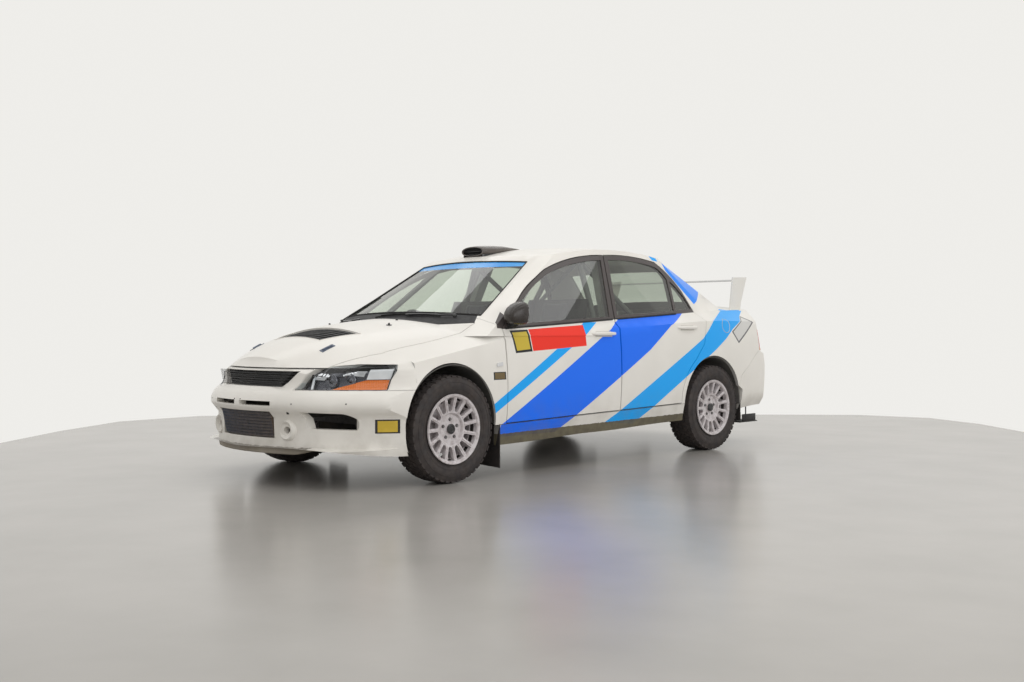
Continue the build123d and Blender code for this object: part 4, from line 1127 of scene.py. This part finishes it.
def grip_mesh(skin, sign, first, last, height):
    """A bar that bows out from the skin between two places."""
    aim = inward(sign)
    mesh = bmesh.new()
    rows = []
    for step in range(17):
        share = step / 16
        bow = math.sin(math.pi * share)
        start, = beside(sign, [(first + (last - first) * share, height)])
        place, _ = landing(skin, start, aim)
        middle = place - aim * (0.030 * bow ** 0.45 - 0.004)
        half = 0.0125 * (0.6 + 0.4 * bow ** 0.5)
        rows.append([
            mesh.verts.new(middle + Vector((-aim.x * 0.0065 * math.cos(turn), 0, half * math.sin(turn))))
            for turn in turns(14)
        ])
    grid_faces(mesh, rows, closed=True, ends=True)
    return mesh


def door_trim():
    for side, sign in SIDES:
        aim = inward(sign)
        for end, first, last, height in HANDLES:
            body = f"door_{end}_{side}"
            skin = surface_of(body)
            grip = grip_mesh(skin, sign, first, last, height)
            piece(f"door_handle_{end}_{side}", grip, body_white, body, "body_paint")
            # A darker patch on the skin behind the handle: painted shade in its cup.
            low, high = height - 21, height + 15
            quad = beside(sign, ((first + 34, low), (last - 34, low), (last - 40, high), (first + 40, high)))
            patch_piece(
                f"handle_cup_{end}_{side}", skin, quad, aim, (8, 4), 0.0006, 0.003, seam_and_painted_shade_white, body, "body_paint"
            )
            start, = beside(sign, [(last - 14, height - 1)])
            place, normal = landing(skin, start, aim)
            lathe_piece(
                f"door_lock_{end}_{side}", LOCK_PROFILE, place, normal, 20, body_white, body, "body_paint"
            )
        for end, first, last in BELT_STRIPS:
            body = f"door_{end}_{side}"
            belt = [(aft, BELT_Z + BELT_SLOPE * (aft - BELT_AFT) + 6) for aft in range(first, last + 1, 35)]
            line = on_surface(surface_of(body), beside(sign, belt), aim, 0.001)
            tube_piece(f"belt_strip_{end}_{side}", line, 0.0065, 8, seal_rubber, body, "rubber")


# Inner panels of the doors, with a pull strap each: first and last aft, top, and how far the foot leans.
DOOR_CARDS = (("front", 520, 1440, 850, 0), ("rear", 1600, 2240, 900, 150))
CARD_FOOT = 420


def door_cards():
    for side, sign in SIDES:
        out = -inward(sign)
        for end, first, last, top, slant in DOOR_CARDS:
            body = f"door_{end}_{side}"
            skin = surface_of(body)
            quad = beside(
                sign, ((first, CARD_FOOT), (last - slant, CARD_FOOT), (last, top), (first, top)), INSIDE
            )
            patch_piece(f"door_card_{end}_{side}", skin, quad, out, (14, 8), 0.0015, 0.003, card_black, body)
            line = beside(sign, [(last - 330 + 26 * step, top - 70) for step in range(8)], INSIDE)
            bow = [
                place - out * 0.022 * math.sin(math.pi * step / 7)
                for step, place in enumerate(on_surface(skin, line, out, 0.004))
            ]
            strap(f"door_pull_{end}_{side}", bow, UP, 0.028, body)


# The tail: the lid's lock, reflectors and the dark board below.
LID_LOCK_PROFILE = ((-0.002, 0.011), (0.004, 0.011), (0.005, 0.008), (0.0035, 0.002))
REFLECTOR = ((560, 385), (660, 385), (660, 415), (560, 415))
BOARD_FINS = (420, 560, 700)


def tail():
    place, normal = landing(surface_of("boot_lid"), at(0, BEHIND, 932), FORWARD)
    lathe_piece("lid_lock", LID_LOCK_PROFILE, place, normal, 24, chrome, "boot_lid", "steel")
    bumper = surface_of("rear_bumper")
    for side, sign in SIDES:
        quad = [at(sign * across, BEHIND, up) for across, up in REFLECTOR]
        patch_piece(
            f"rear_reflector_{side}", bumper, quad, FORWARD, (6, 3), 0.003, 0.006, red_lens, "root", "tail_lamp"
        )
    above = surface_of("floor_pan", "rear_bumper", "rear_suspension")
    board = bmesh.new()
    add_block(board, at(380, 3190, 162), at(720, 3440, 170), 0.003)
    for across in BOARD_FINS:
        add_block(board, at(across - 3, 3250, 166), at(across + 3, 3440, 225), 0.002)
        top, _ = landing(above, at(across, 3300, 200), UP)
        add_tube(board, [at(across, 3300, 168), top], 0.005, 10)
    piece("rear_board", board, black_plastic)


# Small plates and lamps on the flanks, all plain.
BUMPER_PLATE = ((765, -512, 320), (846, -398, 320), (846, -398, 398), (765, -512, 398))
FENDER_PLATE = ((322, 596), (428, 596), (428, 643), (322, 643))
REPEATER = ((352, 674), (404, 680), (402, 702), (354, 696))
FILLER_AFT, FILLER_Z, FILLER_R = 2806, 928, 52
PLATE_BORDER = 0.2


def framed_plate(name, surface, quad, direction, inner):
    middle = sum(quad, Vector()) / 4
    for label, finish, share, lift in (
        ("frame", gloss_black, 0, 0.0008), ("field", inner, PLATE_BORDER, 0.0014),
    ):
        corners = [corner.lerp(middle, share) for corner in quad]
        patch_piece(
            f"{name}_{label}", surface, corners, direction, (8, 4), lift, 0.002, finish, "root", "body_paint"
        )


def flanks():
    fender = surface_of("front_fenders")
    bumper = surface_of("front_bumper")
    for side, sign in SIDES:
        aim = inward(sign)
        diagonal = Vector((-sign * 0.8, 0.6, 0))
        quad = [at(sign * across, aft, up) - diagonal * 0.2 for across, aft, up in BUMPER_PLATE]
        framed_plate(f"bumper_plate_{side}", bumper, quad, diagonal, plate_yellow)
        framed_plate(f"fender_plate_{side}", fender, beside(sign, FENDER_PLATE), aim, plate_brown)
        patch_piece(
            f"side_repeater_{side}", fender, beside(sign, REPEATER), aim, (6, 4), 0.007, 0.009,
            clear_lens, "root", "lamp",
        )
        if side == "left":
            circle = beside(sign, [
                (FILLER_AFT + FILLER_R * math.cos(turn), FILLER_Z + FILLER_R * math.sin(turn))
                for turn in turns(40, closed=True)
            ])
            line = on_surface(surface_of("body_side_left"), circle, aim, -0.0004)
            tube_piece("filler_cap_line", line, 0.0022, 6, seam_and_painted_shade_white, "root", "body_paint")


# Seats, each by corners from its middle (the first two along its front), thickness and number of channels.
SEAT_X = 395
SEAT_PADS = (
    ("base", ((-188, 1028, 447), (188, 1028, 447), (188, 1268, 411), (-188, 1268, 411)), 0.038, 4),
    ("back", ((-186, 1285, 436), (186, 1285, 436), (176, 1350, 850), (-176, 1350, 850)), 0.034, 6),
    ("head", ((-130, 1352, 880), (130, 1352, 880), (112, 1386, 1085), (-112, 1386, 1085)), 0.03, 1),
)
PAD_STEPS = 28
WEB_THICK = 0.0024
# Harness: each strap's places by (share of its distance from the seat's middle, aft, up).
BELT_X = 85
SHOULDER_BELT = (
    (0.95, 1404, 905), (0.95, 1352, 906), (1, 1318, 896), (1, 1290, 760), (0.9, 1262, 620), (0.55, 1225, 510),
    (0.2, 1196, 488),
)
LAP_BELT = ((2.2, 1268, 470), (1.5, 1236, 500), (0.7, 1210, 500), (0.2, 1196, 494))
BUCKLE_PROFILE = ((-0.008, 0.024), (0.008, 0.026), (0.014, 0.022), (0.015, 0.006))


def pad(name, corners, thick, channels):
    """A crowned cushion on four corners, with sewn channels along it."""
    a, b, _, d = corners
    normal = (b - a).cross(d - a).normalized()
    mesh = bmesh.new()
    top, bottom = [], []
    for row in range(PAD_STEPS + 1):
        v = row / PAD_STEPS
        top.append([])
        bottom.append([])
        for column in range(PAD_STEPS + 1):
            u = column / PAD_STEPS
            pull = 0.03 * (math.sin(math.pi * u) * abs(2 * v - 1) ** 3 * (0.5 - v) * 2)
            place = across_quad(corners, u, v) + (d - a) * pull
            crown = (1 - abs(2 * u - 1) ** 5) ** 0.6 * (1 - abs(2 * v - 1) ** 5) ** 0.6
            seam = math.exp(-((abs(u - 0.5) - 0.27) / 0.018) ** 2)
            channel = math.exp(-(((v * channels) % 1 - 0.5) / 0.07) ** 2) * (abs(u - 0.5) < 0.26)
            height = thick * crown * (1 - 0.38 * max(channel, seam)) + 0.012 * crown * (abs(2 * u - 1) ** 2)
            top[-1].append(mesh.verts.new(place + normal * height))
            bottom[-1].append(mesh.verts.new(place - normal * 0.002))
    add_sheet(mesh, top, bottom)
    made = piece(name, mesh, seat_cloth, "root", "seat_shell")


def strap(name, points, side, width, body="root"):
    """Flat webbing along these places, whose width runs along side."""
    mesh = bmesh.new()
    rows = []
    for index, point in enumerate(points):
        face = run_at(points, index).cross(side).normalized() * WEB_THICK / 2
        half = side.normalized() * width / 2
        rows.append([mesh.verts.new(point + half * s + face * t) for s, t in ((-1, -1), (1, -1), (1, 1), (-1, 1))])
    grid_faces(mesh, rows, closed=True, ends=True)
    piece(name, mesh, belt_web, body, "seat_shell")


def seats():
    for side, sign in SIDES:
        def spots(places, share=1):
            return [at(sign * SEAT_X + share * across, aft, up) for across, aft, up in places]

        for label, corners, thick, channels in SEAT_PADS:
            pad(f"seat_{label}_{side}", spots(corners), thick, channels)
        for label, across in (("left", BELT_X), ("right", -BELT_X)):
            strap(f"harness_{label}_{side}", spots(SHOULDER_BELT, across), Vector((1, 0, 0)), 0.05)
            strap(f"lap_belt_{label}_{side}", spots(LAP_BELT, across), Vector((0, 0.35, 0.9)), 0.045)
        buckle, = spots([(0, 1196, 498)])
        lathe_piece(
            f"harness_buckle_{side}", BUCKLE_PROFILE, buckle, Vector((0, -0.3, 0.95)), 24, chrome, "root", "steel"
        )


wheels()
scoop()
mirror()
lamps()
nose()
screens()
door_trim()
door_cards()
tail()
flanks()
seats()


# Camera, lights, floor and backdrop.
CAMERA_PLACE = at(5757.6, -4480.1, 901.6)
CAMERA_YAW = math.radians(45.352)
CAMERA_PITCH = math.radians(-0.587)
CAMERA_LENS = 39.96
SENSOR_WIDTH = 36
BACKGROUND = (0.86, 0.85, 0.82, 1)
SOFT_LIGHT, SOFT_STRENGTH = (1, 0.985, 0.96, 1), 0.64
FLOOR_SHADES = ((0.37, 0.355, 0.33, 1), (0.42, 0.40, 0.375, 1))
# Panels of light by name, place, target, size in metres and power in watts.
CAR_MIDDLE = (0, 1300, 600)
LIGHTS = (
    *(("ceiling", (across, 1300, 4600), (across, 1300, 0), (1.6, 10), 52) for across in (-3300, 0, 3300)),
    ("front_panel", (2200, -5200, 3900), CAR_MIDDLE, (5, 3), 14),
    ("side_panel", (7000, 900, 2200), CAR_MIDDLE, (7, 2.5), 100),
)
# Where the wall meets the floor: how far to the right of the camera and ahead of it, in metres.
WALL_LINE = (
    (-4.08, 8.5), (-4.06, 9.02), (-4.01, 10.08), (-3.84, 11.12), (-3.25, 11.83), (-2.03, 12.04),
    (0.0, 12.04), (1.99, 12.04), (3.66, 11.97), (4.25, 11.56), (4.46, 10.83), (4.5, 9.98), (4.48, 9.5),
)
WALL_HEIGHTS = (0, 0.15, 3.6)
# The rest of the floor's edge, on round the sides and behind the camera.
FLOOR_LINE = (
    (4.95, 8.2), (5.8, 6.6), (6.7, 4.5), (7.2, 2.2), (7.1, -0.2), (6.3, -2.4), (4.8, -4.2), (2.6, -5.3),
    (0.0, -5.7), (-2.6, -5.3), (-4.8, -4.2), (-6.3, -2.4), (-7.1, -0.2), (-7.0, 2.2), (-6.3, 4.4), (-5.2, 6.3),
    (-4.4, 7.6),
)


def aim_at(made, direction):
    made.rotation_euler = direction.to_track_quat("-Z", "Y").to_euler()


def camera():
    data = bpy.data.cameras.new("camera")
    data.lens = CAMERA_LENS
    data.sensor_width = SENSOR_WIDTH
    made = add_object("camera", data)
    made.location = CAMERA_PLACE
    level = math.cos(CAMERA_PITCH)
    aim_at(made, Vector((
        -math.cos(CAMERA_YAW) * level, math.sin(CAMERA_YAW) * level, math.sin(CAMERA_PITCH)
    )))
    bpy.context.scene.camera = made


def area_light(name, place, target, size, power):
    data = bpy.data.lights.new(name, "AREA")
    data.shape = "RECTANGLE"
    data.size, data.size_y = size
    data.energy = power
    made = add_object(name, data)
    made.location = at(*place)
    aim_at(made, at(*target) - at(*place))


def world():
    made = bpy.data.worlds.new("studio")
    made.use_nodes = True
    tree = made.node_tree
    tree.nodes.clear()
    rays = add_node(tree, "ShaderNodeLightPath").outputs
    looks = (rays["Is Camera Ray"], rays["Is Transmission Ray"])
    seen = add_node(tree, "ShaderNodeMath", looks, operation="MAXIMUM")
    bright = add_node(tree, "ShaderNodeBackground", (BACKGROUND,))
    soft = add_node(tree, "ShaderNodeBackground", (SOFT_LIGHT, SOFT_STRENGTH))
    shares = (seen.outputs[0], soft.outputs[0], bright.outputs[0])
    mixed = add_node(tree, "ShaderNodeMixShader", shares)
    add_node(tree, "ShaderNodeOutputWorld", (mixed.outputs[0],))
    bpy.context.scene.world = made
    bpy.context.scene.view_settings.view_transform = "Standard"


def floor_place(right, ahead, height):
    """A place by how far right of the camera and ahead of it lies, over the floor, in metres."""
    forward = Vector((-math.cos(CAMERA_YAW), math.sin(CAMERA_YAW), 0))
    place = CAMERA_PLACE + forward * ahead + Vector((forward.y, -forward.x, 0)) * right
    return place.x, place.y, height


def floor():
    finish = Finish("floor_finish", WHITE, 0.22)
    finish.mottle((1.6, 4, 0.3, 0.7), *FLOOR_SHADES)
    mesh = bmesh.new()
    middle = mesh.verts.new((0, 0, 0))
    rim = [mesh.verts.new(floor_place(*point, 0)) for point in WALL_LINE + FLOOR_LINE]
    for first, second in zip(rim, rim[1:] + rim[:1]):
        mesh.faces.new((middle, second, first))
    made = add_object("floor", mesh_data("floor", mesh, finish))


def wall():
    """It's there for reflections alone: past the floor's edge the camera sees the world, which has its colour."""
    finish = Finish("wall_finish", BACKGROUND, 0.9)
    glow = finish.node("ShaderNodeEmission", (BACKGROUND, 1.0)).outputs[0]
    behind = finish.node("ShaderNodeNewGeometry").outputs["Backfacing"]
    unseen = finish.node("ShaderNodeBsdfTransparent").outputs[0]
    finish.use(finish.blend(behind, glow, unseen))
    mesh = bmesh.new()
    rows = [
        [mesh.verts.new(floor_place(*point, height)) for height in WALL_HEIGHTS] for point in reversed(WALL_LINE)
    ]
    grid_faces(mesh, rows)
    made = add_object("wall", mesh_data("wall", mesh, finish))
    made.visible_camera = False


camera()
world()
for light in LIGHTS:
    area_light(*light)
floor()
wall()
